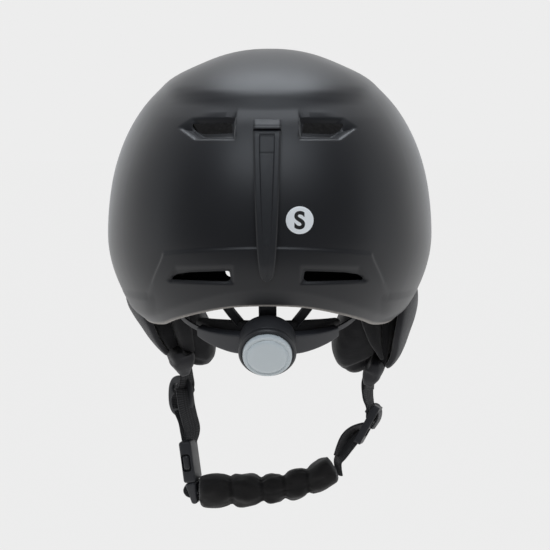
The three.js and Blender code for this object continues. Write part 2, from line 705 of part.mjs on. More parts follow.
function buildChinPad() {
  const rows = [[47.8, -268, 0.55], [43, -267.5, 0.95], [22, -268, 1], [0, -268, 1], [-20, -266.4, 1],
    [-35, -260, 0.9], [-44, -252.5, 0.42]];
  const stations = bandStations(rows).map((station, i) => ({ ...station, scale: rows[i][2] }));
  for (const [i, station] of stations.entries()) {
    station.across = new THREE.Vector3(0, 1, 0);
    const before = stations[Math.max(i - 1, 0)].at;
    const after = stations[Math.min(i + 1, stations.length - 1)].at;
    station.through = after.clone().sub(before).normalize().cross(station.across);
  }
  const section = [];
  for (let i = 0; i < 12; i += 1) {
    const angle = (i / 12) * 360 * degrees;
    section.push([15 * Math.cos(angle), 10.2 * Math.sin(angle)]);
  }
  addNode(helmet, 'chin_pad', sweep(stations, section), padFabric());
}

buildShellAndFoam();
buildComfortPads();
buildGoggleClip();
buildSizeSticker();
buildEar('left');
buildEar('right');
buildCradle();
buildDial();
buildRack('left', 1);
buildRack('right', -1);
buildHangers();
buildStraps();
buildLadderLocks();
buildBuckleFemale();
buildBuckleMale();
buildChinPad();

export default helmet;
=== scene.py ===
import math

import bmesh
import bpy
import numpy as np
from mathutils import Matrix, Vector
from mathutils.noise import noise


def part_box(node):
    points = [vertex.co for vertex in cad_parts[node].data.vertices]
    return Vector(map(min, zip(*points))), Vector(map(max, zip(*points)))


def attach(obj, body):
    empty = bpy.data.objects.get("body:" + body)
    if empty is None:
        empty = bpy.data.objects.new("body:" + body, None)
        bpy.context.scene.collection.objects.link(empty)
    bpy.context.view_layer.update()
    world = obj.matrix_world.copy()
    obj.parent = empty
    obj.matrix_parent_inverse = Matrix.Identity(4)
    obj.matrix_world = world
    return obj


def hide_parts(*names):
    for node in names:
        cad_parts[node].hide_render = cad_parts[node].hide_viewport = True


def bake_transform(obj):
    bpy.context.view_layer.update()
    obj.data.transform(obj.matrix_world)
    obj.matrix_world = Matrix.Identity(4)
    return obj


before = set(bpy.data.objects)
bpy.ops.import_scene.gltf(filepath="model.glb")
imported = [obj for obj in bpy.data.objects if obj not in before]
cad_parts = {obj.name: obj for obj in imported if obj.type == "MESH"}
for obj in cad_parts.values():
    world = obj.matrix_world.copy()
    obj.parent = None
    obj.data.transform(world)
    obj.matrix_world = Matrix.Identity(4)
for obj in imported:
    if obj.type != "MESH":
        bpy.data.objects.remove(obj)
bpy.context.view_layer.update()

# Shapes are worked out in millimetres in the row frame and written to meshes in metres.
MM = 0.001
SHELL_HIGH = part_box("outer_shell")[1]
STICKER_LOW, STICKER_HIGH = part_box("size_sticker")

# ---- The shell's driving dimensions, as on the CAD part; the rims are (degrees from the back, height) ----
SHELL_TOP = SHELL_HIGH[2] / MM
HALF_WIDTH = SHELL_HIGH[0] / MM
HALF_LENGTH = SHELL_HIGH[1] / MM
WIDEST_Z = -89
PLAN_POWER = 2.25
PROFILE_POWER = 2.2
SHELL_TUCK = 134
SHELL_WALL = 3
FOAM_GAP = 0.6
CAVITY = {"top": 8, "width": 81, "length": 105, "tuck": 204}
SHELL_RIM = ((0, -134), (10, -134.8), (17, -137), (25, -140.4), (36, -145.4), (46, -149.6), (58, -149.4),
             (70, -146.2), (80, -139.5), (90, -131), (125, -117), (150, -104), (180, -101))
LINING_FOOT = -123
FOAM_RIM = ((0, -126), (45, -126), (66, -116), (100, -114), (125, -108), (150, -99), (180, -97))

# ---- The fit system's own frame ----
FIT_CENTRE = Vector((0, 42.9, -121))
FIT_TILT = math.radians(32)

STRAP_Y = -8


def step_between(low, high, value):
    """0 at low, 1 at high, eased at both ends; low may be above high."""
    share = np.clip((value - low) / (high - low), 0, 1)
    return share * share * (3 - 2 * share)


def through(table, position):
    """A smooth value through rows of (position, value), flat at both ends."""
    xs = np.array([row[0] for row in table], float)
    ys = np.array([row[1] for row in table], float)
    slopes = np.zeros(len(xs))
    slopes[1:-1] = (ys[2:] - ys[:-2]) / (xs[2:] - xs[:-2])
    position = np.clip(position, xs[0], xs[-1])
    k = np.clip(np.searchsorted(xs, position) - 1, 0, len(xs) - 2)
    run = xs[k + 1] - xs[k]
    t = (position - xs[k]) / run
    stay = ys[k] * (2 * t**3 - 3 * t**2 + 1) + ys[k + 1] * (3 * t**2 - 2 * t**3)
    return stay + run * (slopes[k] * (t**3 - 2 * t**2 + t) + slopes[k + 1] * (t**3 - t**2))


# ---------------------------------------------------------------- meshes
def new_object(name, data):
    obj = bpy.data.objects.new(name, data)
    bpy.context.scene.collection.objects.link(obj)
    return obj


def finish_mesh(name, mesh, material, body, sharp_angle=35):
    mesh.validate()
    obj = new_object(name, mesh)
    mesh.materials.append(material)
    smooth_mesh(mesh, sharp_angle)
    if body:
        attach(obj, body)
    return obj


def smooth_mesh(mesh, sharp_angle):
    mesh.polygons.foreach_set("use_smooth", [True] * len(mesh.polygons))
    if sharp_angle is not None:
        mesh.set_sharp_from_angle(angle=math.radians(sharp_angle))


def mesh_from(name, points, faces):
    mesh = bpy.data.meshes.new(name)
    mesh.from_pydata([tuple(float(c) * MM for c in p) for p in points], [], faces)
    work = bmesh.new()
    work.from_mesh(mesh)
    bmesh.ops.recalc_face_normals(work, faces=work.faces)
    work.to_mesh(mesh)
    work.free()
    return mesh


def make(name, points, faces, material, body, sharp_angle=35):
    return finish_mesh(name, mesh_from(name, points, faces), material, body, sharp_angle)


def ring_faces(rings, count, first=0):
    """Faces between closed rings of count points each; the rings' points start at index first."""
    faces = []
    for i in range(rings - 1):
        for j in range(count):
            a = first + i * count + j
            b = first + i * count + (j + 1) % count
            faces.append((a, b, b + count, a + count))
    return faces


def prism(outline, heights, place):
    """A solid between two copies of an outline; place turns x, y and a height into a point."""
    count = len(outline)
    points = [place(x, y, height) for height in heights for x, y in outline]
    faces = [tuple(range(count)), tuple(range(2 * count - 1, count - 1, -1))]
    for i in range(count):
        j = (i + 1) % count
        faces.append((i, j, count + j, count + i))
    return points, faces


def apply_modifiers(obj):
    """Turns the object's modifiers into its mesh."""
    depsgraph = bpy.context.evaluated_depsgraph_get()
    done = bpy.data.meshes.new_from_object(obj.evaluated_get(depsgraph))
    obj.modifiers.clear()
    obj.data = done


def cut(obj, cutter):
    """Takes the cutter's solid out of the object and drops the cutter."""
    modifier = obj.modifiers.new("cut", "BOOLEAN")
    modifier.operation = "DIFFERENCE"
    modifier.solver = "EXACT"
    modifier.object = cutter
    apply_modifiers(obj)
    bpy.data.objects.remove(cutter)


def bevel(obj, width, segments=3):
    """Rounds every edge that turns by more than 40 degrees."""
    modifier = obj.modifiers.new("bevel", "BEVEL")
    modifier.width = width * MM
    modifier.segments = segments
    modifier.limit_method = "ANGLE"
    modifier.angle_limit = math.radians(40)
    apply_modifiers(obj)
    smooth_mesh(obj.data, 50)


def subdivide(obj):
    modifier = obj.modifiers.new("subdivide", "SUBSURF")
    modifier.levels = 1
    apply_modifiers(obj)
    smooth_mesh(obj.data, None)


# ---------------------------------------------------------------- materials
def new_material(name, colour, roughness):
    material = bpy.data.materials.new(name)
    material.use_nodes = True
    shader = material.node_tree.nodes["Principled BSDF"]
    shader.inputs["Base Color"].default_value = (*colour, 1)
    shader.inputs["Roughness"].default_value = roughness
    return material, material.node_tree, shader


def add_node(tree, kind, **inputs):
    node = tree.nodes.new(kind)
    for key, value in inputs.items():
        node.inputs[key.replace("_", " ")].default_value = value
    return node


def object_coords(tree):
    return tree.nodes.new("ShaderNodeTexCoord").outputs["Object"]


def noise_value(tree, vector, scale, detail, roughness=0.5):
    texture = add_node(tree, "ShaderNodeTexNoise", Scale=scale, Detail=detail, Roughness=roughness)
    tree.links.new(vector, texture.inputs["Vector"])
    return texture.outputs["Fac"]


def ramp(tree, value, low, high):
    """The value stretched so that 0..1 runs from low to high."""
    node = tree.nodes.new("ShaderNodeMapRange")
    node.inputs["To Min"].default_value = low
    node.inputs["To Max"].default_value = high
    tree.links.new(value, node.inputs["Value"])
    return node.outputs["Result"]


def math_node(tree, operation, first, second):
    node = tree.nodes.new("ShaderNodeMath")
    node.operation = operation
    tree.links.new(first, node.inputs[0])
    tree.links.new(second, node.inputs[1])
    return node.outputs[0]


def wave_scale(period):
    """The wave texture's scale for this distance from one crest to the next."""
    return math.tau / (20 * period)


def mix_colours(tree, factor, low, high):
    """A mix of two colours by a factor; low may be another node's output."""
    node = tree.nodes.new("ShaderNodeMix")
    node.data_type = "RGBA"
    if isinstance(low, tuple):
        node.inputs["A"].default_value = (*low, 1)
    else:
        tree.links.new(low, node.inputs["A"])
    node.inputs["B"].default_value = (*high, 1)
    tree.links.new(factor, node.inputs["Factor"])
    return node.outputs["Result"]


def bump(tree, shader, height, distance, strength):
    """Adds a bump, its distance in millimetres, on top of any that the shader already has."""
    node = tree.nodes.new("ShaderNodeBump")
    node.inputs["Distance"].default_value = distance * MM
    node.inputs["Strength"].default_value = strength
    tree.links.new(height, node.inputs["Height"])
    previous = shader.inputs["Normal"].links
    if previous:
        tree.links.new(previous[0].from_socket, node.inputs["Normal"])
    tree.links.new(node.outputs["Normal"], shader.inputs["Normal"])


def shell_material():
    """Soft-touch paint, with a pale, speckled rim where the mesh's edge value says so: a painted highlight
    along the rim.
    """
    material, tree, shader = new_material("soft_touch_shell", (0.019, 0.02, 0.024), 0.5)
    vector = object_coords(tree)
    cloud = noise_value(tree, vector, 9, 4)
    base = mix_colours(tree, cloud, (0.0085, 0.009, 0.0115), (0.0105, 0.011, 0.0135))
    edge = tree.nodes.new("ShaderNodeAttribute")
    edge.attribute_name = "edge"
    speckle = noise_value(tree, vector, 900, 2)
    # Painted highlight: the rim and its lip are mixed towards a pale grey, broken up by a speckle.
    rim_highlight = math_node(tree, "MULTIPLY", edge.outputs["Fac"], ramp(tree, speckle, 0.35, 1.25))
    tree.links.new(mix_colours(tree, rim_highlight, base, (0.42, 0.39, 0.36)), shader.inputs["Base Color"])
    tree.links.new(ramp(tree, noise_value(tree, vector, 25, 3), 0.38, 0.48), shader.inputs["Roughness"])
    bump(tree, shader, noise_value(tree, vector, 2600, 2), 0.02, 0.35)
    shader.inputs["Specular IOR Level"].default_value = 0.4
    shader.inputs["Sheen Weight"].default_value = 0.25
    shader.inputs["Sheen Roughness"].default_value = 0.4
    return material


def plastic(name, low, high, roughness, grain=1800, depth=0.02):
    """Moulded plastic with a fine spark-eroded grain and slight cloudiness."""
    material, tree, shader = new_material(name, low, roughness)
    vector = object_coords(tree)
    cloud = noise_value(tree, vector, 60, 3)
    gloss = noise_value(tree, vector, 240, 2)
    tree.links.new(mix_colours(tree, cloud, low, high), shader.inputs["Base Color"])
    tree.links.new(ramp(tree, gloss, roughness - 0.06, roughness + 0.08), shader.inputs["Roughness"])
    bump(tree, shader, noise_value(tree, vector, grain, 2), depth, 0.5)
    return material


def foam_material():
    """Black expanded foam: rounded beads pressed together."""
    material, tree, shader = new_material("expanded_foam", (0.02, 0.02, 0.022), 0.75)
    vector = object_coords(tree)
    beads = tree.nodes.new("ShaderNodeTexVoronoi")
    beads.feature = "F1"
    beads.inputs["Scale"].default_value = 330
    tree.links.new(vector, beads.inputs["Vector"])
    tree.links.new(mix_colours(tree, beads.outputs["Distance"], (0.035, 0.035, 0.038), (0.012, 0.012, 0.014)),
                   shader.inputs["Base Color"])
    bump(tree, shader, ramp(tree, beads.outputs["Distance"], 1, 0), 0.5, 0.5)
    return material


def fabric(name, low, high, thread=0.7, fuzz=0.4, sheen=0.35):
    """Knitted or brushed fabric: two crossed waves for the thread, with fuzz over them."""
    material, tree, shader = new_material(name, low, 0.92)
    vector = object_coords(tree)
    heights = []
    for axis in ("X", "Y", "Z"):
        wave = add_node(tree, "ShaderNodeTexWave", Scale=wave_scale(thread * MM), Distortion=1.5, Detail=1.0)
        wave.bands_direction = axis
        tree.links.new(vector, wave.inputs["Vector"])
        heights.append(wave.outputs["Fac"])
    total = heights[0]
    for other in heights[1:]:
        total = math_node(tree, "ADD", total, other)
    blotch = noise_value(tree, vector, 140, 4, 0.6)
    tree.links.new(mix_colours(tree, blotch, low, high), shader.inputs["Base Color"])
    bump(tree, shader, total, 0.05, 0.5)
    bump(tree, shader, noise_value(tree, vector, 1500, 3, 0.7), fuzz, 0.35)
    shader.inputs["Sheen Weight"].default_value = sheen
    shader.inputs["Sheen Roughness"].default_value = 0.45
    shader.inputs["Specular IOR Level"].default_value = 0.15
    return material


RIB_SPACING = 1.3
WARP_SPACING = 0.9


def webbing_material():
    """Flat woven webbing: the strap's map, in millimetres, gives the ribs and the warp."""
    material, tree, shader = new_material("webbing", (0.03, 0.031, 0.034), 0.75)
    uv = tree.nodes.new("ShaderNodeUVMap")
    uv.uv_map = "strap"
    rib = add_node(tree, "ShaderNodeTexWave", Scale=wave_scale(RIB_SPACING))
    rib.bands_direction = "X"
    warp = add_node(tree, "ShaderNodeTexWave", Scale=wave_scale(WARP_SPACING))
    warp.bands_direction = "Y"
    for wave in (rib, warp):
        tree.links.new(uv.outputs["UV"], wave.inputs["Vector"])
    weave = math_node(tree, "MULTIPLY", rib.outputs["Fac"], warp.outputs["Fac"])
    tree.links.new(mix_colours(tree, weave, (0.014, 0.014, 0.016), (0.055, 0.056, 0.061)),
                   shader.inputs["Base Color"])
    bump(tree, shader, weave, 0.25, 0.8)
    shader.inputs["Sheen Weight"].default_value = 0.2
    shader.inputs["Specular IOR Level"].default_value = 0.3
    return material


SHELL = shell_material()
FOAM = foam_material()
DARK_PLASTIC = plastic("dark_plastic", (0.022, 0.023, 0.026), (0.03, 0.031, 0.035), 0.42)
CLIP_PLASTIC = plastic("clip_plastic", (0.006, 0.007, 0.010), (0.009, 0.010, 0.013), 0.55, 2400, 0.03)
WING_PLASTIC = plastic("wing_plastic", (0.024, 0.025, 0.03), (0.028, 0.029, 0.034), 0.45, 1500, 0.015)
DIAL_PLASTIC = plastic("dial_plastic", (0.6, 0.66, 0.69), (0.64, 0.7, 0.73), 0.34, 1200, 0.01)
EAR_FABRIC = fabric("ear_fabric", (0.018, 0.018, 0.02), (0.034, 0.034, 0.038))
LINING = fabric("lining", (0.012, 0.012, 0.013), (0.024, 0.024, 0.026), 0.9, 0.5)
# A darker, duller copy of the lining: painted shade for the web that lies in the gap between the ear cover
# and the panel.
SHADED_LINING = fabric("shaded_lining", (0.005, 0.005, 0.006), (0.011, 0.011, 0.012), 0.9, 0.4, 0.1)
WEBBING = webbing_material()
CHIN_FABRIC = fabric("chin_fabric", (0.013, 0.012, 0.012), (0.024, 0.023, 0.023), 0.8, 0.45, 0.3)
DARK_GLOSS = plastic("buckle_plastic", (0.018, 0.019, 0.023), (0.025, 0.026, 0.031), 0.5, 1400, 0.01)
LABEL = plastic("label_film", (0.9, 0.93, 0.95), (0.93, 0.96, 0.98), 0.4, 900, 0.005)
INK = plastic("ink", (0.006, 0.006, 0.007), (0.008, 0.008, 0.009), 0.45, 900, 0.005)


# ---------------------------------------------------------------- the dome
OUTER_DOME = {"top": SHELL_TOP, "width": HALF_WIDTH, "length": HALF_LENGTH, "tuck": SHELL_TUCK}


def plan_share(dome, z):
    """The dome's plan at a height, as a share of its widest plan."""
    rise = np.clip((z - WIDEST_Z) / (dome["top"] - WIDEST_Z), 0, 1)
    upper = (1 - rise**PROFILE_POWER) ** (1 / PROFILE_POWER)
    lower = 1 - ((z - WIDEST_Z) / dome["tuck"]) ** 2
    return np.where(z < WIDEST_Z, lower, upper)


def signed_power(value, exponent):
    return np.sign(value) * np.abs(value) ** exponent


def plan_point(dome, angle, z):
    """Points on a dome; the angle in radians runs from the back towards the wearer's left."""
    share = plan_share(dome, z)
    x = dome["width"] * signed_power(np.sin(angle), 2 / PLAN_POWER) * share
    y = dome["length"] * signed_power(np.cos(angle), 2 / PLAN_POWER) * share
    return np.stack(np.broadcast_arrays(x, y, z), axis=-1)


def bearing(points):
    """Degrees from the back, the same on both sides."""
    return np.degrees(np.abs(np.arctan2(points[..., 0], points[..., 1])))


def inside_polygon(outline, x, z):
    """How far inside each edge line of a convex outline (anticlockwise) every point lies."""
    distances = []
    for (x0, z0), (x1, z1) in zip(outline, outline[1:] + outline[:1]):
        length = math.hypot(x1 - x0, z1 - z0)
        distances.append(((x1 - x0) * (z - z0) - (z1 - z0) * (x - x0)) / length)
    return distances


# Each vent: its hole and its scooped recess as outlines in X and Z on the wearer's left, the widths over
# which the recess's sides slope in, its depth, and whether it is on the back.
VENTS = (
    {"hole": [(47.9, -17.9), (22.8, -17.3), (21.8, -24), (41.3, -24.5), (45.6, -22.6), (48, -19.4)],
     "recess": [(58.5, -20.3), (49, -14), (20, -11.8), (20, -28.3), (47, -28.3)],
     "slopes": (7, 4.2, 1.8, 3.4, 6), "depth": 4.4, "back": True},
    {"hole": [(60.6, -115.6), (57.5, -113), (49, -111.4), (32.4, -110.4), (23.6, -110.1), (22.8, -115.4),
              (25, -116.9), (60.4, -116.8)],
     "recess": [(64.6, -117.2), (58, -106.8), (21, -105.6), (20.4, -118.4), (62.5, -118.6)],
     "slopes": (2.5, 5, 2, 1.6, 3), "depth": 1.8, "back": True},
    {"hole": [(49.4, -53.2), (21, -52.5), (20.5, -59.4), (42, -59.8), (47.2, -57.6)],
     "recess": [(60, -54.5), (50, -49.5), (18.5, -47.5), (18.5, -63.5), (48, -63.5)],
     "slopes": (7, 4, 2, 3.4, 6), "depth": 3.6, "back": False},
)
HOLE_LIP = 1.1
LIP_DEPTH = 0.8


def vent_dip(points):
    """How deep the vents' recesses go at each point, with the rounded lip of each hole."""
    x = np.abs(points[..., 0])
    z = points[..., 2]
    dip = np.zeros(x.shape)
    for vent in VENTS:
        facing = points[..., 1] > 0 if vent["back"] else points[..., 1] < 0
        sides = [step_between(0, slope, inside) for slope, inside
                 in zip(vent["slopes"], inside_polygon(vent["recess"], x, z))]
        depth = np.min(sides, axis=0) * vent["depth"]
        to_hole = np.min(inside_polygon(vent["hole"], x, z), axis=0)
        lip = LIP_DEPTH * step_between(-HOLE_LIP, 0.4, to_hole)
        dip = np.where(facing, np.maximum(dip, depth + lip), dip)
    return dip


CROWN_LINE = ((0, -3.5), (35, 0.5), (70, 8), (110, 9), (180, 4))
POLE_REACH = 90


def crown_step(points):
    """A soft shoulder where the crown meets the back and the sides, over a slightly flatter crown.

    Near the pole every bearing has the sides' values, so that the surface is smooth there.
    """
    way = bearing(points)
    above = points[..., 2] - through(CROWN_LINE, way)
    near_pole = 1 - step_between(0, POLE_REACH, np.hypot(points[..., 0], points[..., 1]))
    at_sides = step_between(40, 75, way) * step_between(150, 120, way)
    at_sides += (1 - at_sides) * near_pole
    off_back = step_between(30, 60, way)
    off_back += (1 - off_back) * near_pole
    shoulder = (1.3 - 1.1 * at_sides) * step_between(-2.6, 2.4, above) * (1 - step_between(4, 26, above))
    valley = (0.9 - 0.6 * at_sides) * step_between(-17, -3, above) * (1 - step_between(-3, 2.6, above))
    flatter = 1.7 * np.exp(-((points[..., 2] - 25) / 8.5) ** 2) * off_back
    slimmer = 0.7 * at_sides * step_between(-110, -60, points[..., 2])
    return shoulder - valley - flatter - slimmer


def lower_panel(points):
    """A panel that stands proud across the lower back, and runs on as a band round the sides."""
    x = np.abs(points[..., 0])
    z = points[..., 2]
    top = -94.6 - 4 * (x / 62) ** 2
    side = through(((-134, 79), (-126, 77.2), (-114, 72.6), (-104, 68), (-98, 66.4)), z)
    inner = np.minimum(top - z, side - x)
    panel = step_between(-0.2, 1.5, inner) * (1 - 0.6 * step_between(-104, -128, z))
    band = step_between(-0.1, 0.7, -128.4 - z) * step_between(68, 80, x) * 1.3
    proud = np.maximum(panel, band) * 0.9
    return np.where(points[..., 1] > 0, proud * (1 - step_between(60, 80, bearing(points))), 0)


def under_turn(points):
    """The surface turns in below a soft crease above the rim."""
    way = bearing(points)
    rim = through(SHELL_RIM, way)
    height = through(((0, 12), (35, 8.5), (90, 7), (180, 8)), way)
    below = np.clip((rim + height - points[..., 2]) / height, 0, 1.3)
    return 2.9 * below


def shell_surface(angle, z, inset=0.0):
    """The finished outer surface, moved in by inset."""
    points = plan_point(OUTER_DOME, angle, z)
    turn = 1e-3
    rise = 0.03
    across = plan_point(OUTER_DOME, angle + turn, z) - plan_point(OUTER_DOME, angle - turn, z)
    up = plan_point(OUTER_DOME, angle, z + rise) - plan_point(OUTER_DOME, angle, z - rise)
    normal = np.cross(up, across)
    length = np.linalg.norm(normal, axis=-1, keepdims=True)
    normal = np.where(length > 1e-9, normal / np.maximum(length, 1e-9), (0, 0, 1))
    outward = np.sign(np.sum(normal * (points - (0, 0, WIDEST_Z)), axis=-1, keepdims=True))
    normal = normal * np.where(outward == 0, 1, outward)
    move = crown_step(points) + lower_panel(points) - vent_dip(points) - under_turn(points) - inset
    return points + normal * move[..., None]


def spaced(stops):
    """Values from the first stop to the last; each stop is (value, spacing up to the next stop)."""
    values = []
    for (start, spacing), (end, _) in zip(stops, stops[1:]):
        count = max(int(round(abs(end - start) / spacing)), 1)
        values += list(np.linspace(start, end, count, endpoint=False))
    return values + [stops[-1][0]]


FINE_BACK = 58
ANGLE_STOPS = ((-180, 1.0), (-122, 2.4), (-FINE_BACK, 0.5), (FINE_BACK, 2.4), (122, 1.0), (180, 1))
LEVEL_END = -94


def dome_heights(top):
    """Heights of the rows from just under the pole to the lower vents, closer together at the vents."""
    leans = np.radians(spaced(((1.2, 2.2), (54, 1))))
    crown = WIDEST_Z + (top - WIDEST_Z) * np.cos(leans) ** (2 / PROFILE_POWER)
    stops = ((crown[-1], 0.7), (-31, 3), (-46, 0.9), (-65, 3.5), (-93, 0.8), (-119.5, 1))
    return np.concatenate([crown[:-1], spaced(stops)])


def dome_grid(surface, top, rim_table, last_rows=14):
    """Points of a dome as rows from the crown to the rim, in columns round it.

    The rows are level down to LEVEL_END, and from there on they bend towards the rim's line.
    """
    angles = np.radians(spaced(ANGLE_STOPS)[:-1])
    rim = through(rim_table, bearing(plan_point(OUTER_DOME, angles, np.full(angles.shape, float(WIDEST_Z)))))
    heights = dome_heights(top)
    level = heights[heights > LEVEL_END]
    lower = heights[heights <= LEVEL_END]
    rows = [np.full(angles.shape, z) for z in level]
    for z in lower:
        share = (level[-1] - z) / (level[-1] - lower[-1])
        rows.append(level[-1] + (np.maximum(lower[-1], rim + 4) - level[-1]) * share)
    last = rows[-1]
    rows += [last + (rim - last) * i / last_rows for i in range(1, last_rows + 1)]
    heights = np.array(rows)
    return surface(np.broadcast_to(angles, heights.shape), heights)


LIP_ROWS = 5


def dome_mesh(name, outer, inner):
    """A closed dome between two grids with the same columns, joined by a rounded rim."""
    columns = outer.shape[1]
    middle = (outer[-1] + inner[-1]) / 2
    reach = (outer[-1] - inner[-1]) / 2
    lip = []
    for i in range(1, LIP_ROWS + 1):
        turn = math.pi * i / (LIP_ROWS + 1)
        point = middle + reach * math.cos(turn)
        point[:, 2] -= np.linalg.norm(reach, axis=-1) * math.sin(turn) * 0.8
        lip.append(point)
    rings = np.concatenate([outer, np.array(lip), inner[::-1]])
    crown_out = outer[0].mean(axis=0)
    crown_in = inner[0].mean(axis=0)
    points = list(rings.reshape(-1, 3)) + [crown_out + (0, 0, 0.02), crown_in + (0, 0, 0.02)]
    faces = ring_faces(len(rings), columns)
    last = (len(rings) - 1) * columns
    for j in range(columns):
        follow = (j + 1) % columns
        faces.append((len(points) - 2, follow, j))
        faces.append((len(points) - 1, last + j, last + follow))
    mesh = mesh_from(name, points, faces)
    # The edge value marks the rim, where the shell's material paints a pale highlight.
    edge = mesh.attributes.new("edge", "FLOAT", "POINT")
    values = np.zeros(len(mesh.vertices))
    first = outer.shape[0] * columns
    values[first - columns: first] = 0.85
    values[first: first + LIP_ROWS * columns] = 1
    edge.data.foreach_set("value", values)
    return mesh


def vent_cutter(grow):
    """All the vents' holes as prisms along Y, in one object."""
    points = []
    faces = []
    for vent in VENTS:
        outline = rounded(vent["hole"], 1.4, grow)
        facing = 1 if vent["back"] else -1
        for side in (1, -1):
            more_points, more_faces = prism(outline, (20, 160), lambda x, z, y: (side * x, facing * y, z))
            faces += [[index + len(points) for index in face] for face in more_faces]
            points += more_points
    return new_object("cutter", mesh_from("cutter", points, faces))


def rounded(outline, radius, grow, arc=5):
    """The outline grown outward, with its corners turned into short curves."""
    from_middle = np.array(outline) - np.mean(outline, axis=0)
    corners = np.array(outline) + unit(from_middle) * grow
    result = []
    for i, corner in enumerate(corners):
        before = corners[i - 1] - corner
        after = corners[(i + 1) % len(corners)] - corner
        start = corner + unit(before) * min(radius, np.linalg.norm(before) * 0.45)
        end = corner + unit(after) * min(radius, np.linalg.norm(after) * 0.45)
        for k in range(arc + 1):
            t = k / arc
            result.append(start * (1 - t) ** 2 + corner * 2 * t * (1 - t) + end * t**2)
    return result


def build_shell():
    outer = dome_grid(shell_surface, SHELL_TOP, SHELL_RIM)
    inner = dome_grid(lambda a, z: shell_surface(a, z, SHELL_WALL - 0.4), SHELL_TOP, SHELL_RIM)
    shell = finish_mesh("helmet_shell", dome_mesh("helmet_shell", outer, inner), SHELL, "helmet")
    cut(shell, vent_cutter(0))
    smooth_mesh(shell.data, 42)
    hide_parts("outer_shell")


def build_foam():
    depth = SHELL_WALL + FOAM_GAP
    outer = dome_grid(lambda a, z: shell_surface(a, z, depth), SHELL_TOP, FOAM_RIM, last_rows=4)
    inner = dome_grid(lambda a, z: plan_point(CAVITY, a, np.minimum(z, CAVITY["top"] - 0.01)),
                      CAVITY["top"], FOAM_RIM, last_rows=4)
    foam = finish_mesh("foam_liner", dome_mesh("foam_liner", outer, inner), FOAM, "helmet")
    cut(foam, vent_cutter(0.8))
    smooth_mesh(foam.data, 42)
    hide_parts("impact_liner")


# The lining behind the lower vents: rows of (degrees from the back, height of its top edge).
LINING_TOPS = {"left": (1, ((10, -114.8), (17.4, -114.4), (19.8, -104), (54, -102))),
               "right": (-1, ((10, -104.5), (54, -102)))}
LINING_INSETS = (1.2, 3.4)


def build_vent_lining():
    """Lining on the foam's head side behind the lower vents; the left one leaves a gap at its inner end."""
    for name, (side, top) in LINING_TOPS.items():
        ways = np.linspace(top[0][0], top[-1][0], 64)
        high = through(top, ways)
        heights = high + (LINING_FOOT - high) * np.linspace(0, 1, 18)[:, None]
        angles = np.broadcast_to(side * np.radians(ways), heights.shape)
        walls = []
        for inset in LINING_INSETS:
            inner = {**CAVITY, "width": CAVITY["width"] - inset, "length": CAVITY["length"] - inset}
            walls.append(plan_point(inner, angles, heights))
        lining = slab(f"vent_lining_{name}", *walls, LINING, "helmet")
        bevel(lining, 0.7)
        crumple(lining, 0.5, 0.15)


# ---------------------------------------------------------------- lofts
def blend_rows(rows, steps):
    """Rows of numbers joined by a smooth curve through every row, as steps + 1 rows."""
    rows = np.array(rows, float)
    padded = np.concatenate([[2 * rows[0] - rows[1]], rows, [2 * rows[-1] - rows[-2]]])
    place = np.linspace(0, len(rows) - 1, steps + 1)
    k = np.minimum(place.astype(int), len(rows) - 2)
    t = (place - k)[:, None]
    p0, p1, p2, p3 = (padded[k + i] for i in range(4))
    return 0.5 * (2 * p1 + (p2 - p0) * t + (2 * p0 - 5 * p1 + 4 * p2 - p3) * t**2
                  + (3 * p1 - p0 - 3 * p2 + p3) * t**3)


def unit(vectors):
    return vectors / np.linalg.norm(vectors, axis=-1, keepdims=True)


def end_scale(count, reach):
    """Shares of full size along a run of stations whose ends are rounded over a share of its length."""
    place = np.linspace(0, 1, count)
    near = np.minimum(place, 1 - place) / max(reach, 1e-6)
    return np.sqrt(np.clip(1 - (1 - np.clip(near, 0, 1)) ** 2, 0.02, 1))


def loft(name, at, across, through_wall, halves, material, body, power, count, sharp=60):
    """A closed solid with one superellipse section at every station."""
    turn = np.linspace(0, math.tau, count, endpoint=False)
    a = signed_power(np.cos(turn), 2 / power)
    b = signed_power(np.sin(turn), 2 / power)
    rings = (at[:, None] + across[:, None] * (a[None, :, None] * halves[:, 0, None, None])
             + through_wall[:, None] * (b[None, :, None] * halves[:, 1, None, None]))
    return close_rings(name, rings, material, body, sharp)


def close_rings(name, rings, material, body, sharp):
    """A closed solid through rings of points, with flat ends."""
    steps, count = rings.shape[:2]
    points = list(rings.reshape(-1, 3)) + [rings[0].mean(axis=0), rings[-1].mean(axis=0)]
    faces = ring_faces(steps, count)
    for j in range(count):
        k = (j + 1) % count
        faces.append((steps * count, k, j))
        faces.append((steps * count + 1, (steps - 1) * count + j, (steps - 1) * count + k))
    return make(name, points, faces, material, body, sharp)


def sweep(name, rows, material, body, power, count, steps, reach=0.0, sharp=60, change=None):
    """A band along a path; rows are (x, y, z, half width, half wall, turn), the width along Y at turn 0."""
    rows = blend_rows(rows, steps)
    at = rows[:, :3]
    tangent = unit(np.gradient(at, axis=0))
    depth = unit(np.array([0.0, 1.0, 0.0]) - tangent * tangent[:, 1:2])
    side = np.cross(tangent, depth)
    turn = np.radians(rows[:, 5:6])
    across = depth * np.cos(turn) + side * np.sin(turn)
    wall = np.cross(tangent, across)
    scale = end_scale(len(rows), reach)[:, None] if reach else 1
    obj = loft(name, at, across, wall, rows[:, 3:5] * scale, material, body, power, count, sharp)
    run = np.concatenate([[0], np.cumsum(np.linalg.norm(np.diff(at, axis=0), axis=1))])
    add_strap_map(obj, run, rows[:, 3], count)
    if change:
        for vertex in obj.data.vertices:
            vertex.co = Vector(change(vertex.co / MM)) * MM
    return obj


def add_strap_map(obj, run, halves, count):
    """A map of millimetres along and across the band, for the weave."""
    layer_map = obj.data.uv_layers.new(name="strap")
    steps = len(run)
    for polygon in obj.data.polygons:
        for loop in polygon.loop_indices:
            index = obj.data.loops[loop].vertex_index
            row, column = divmod(min(index, steps * count - 1), count)
            across = halves[row] * math.cos(math.tau * column / count)
            layer_map.data[loop].uv = (run[row], across)


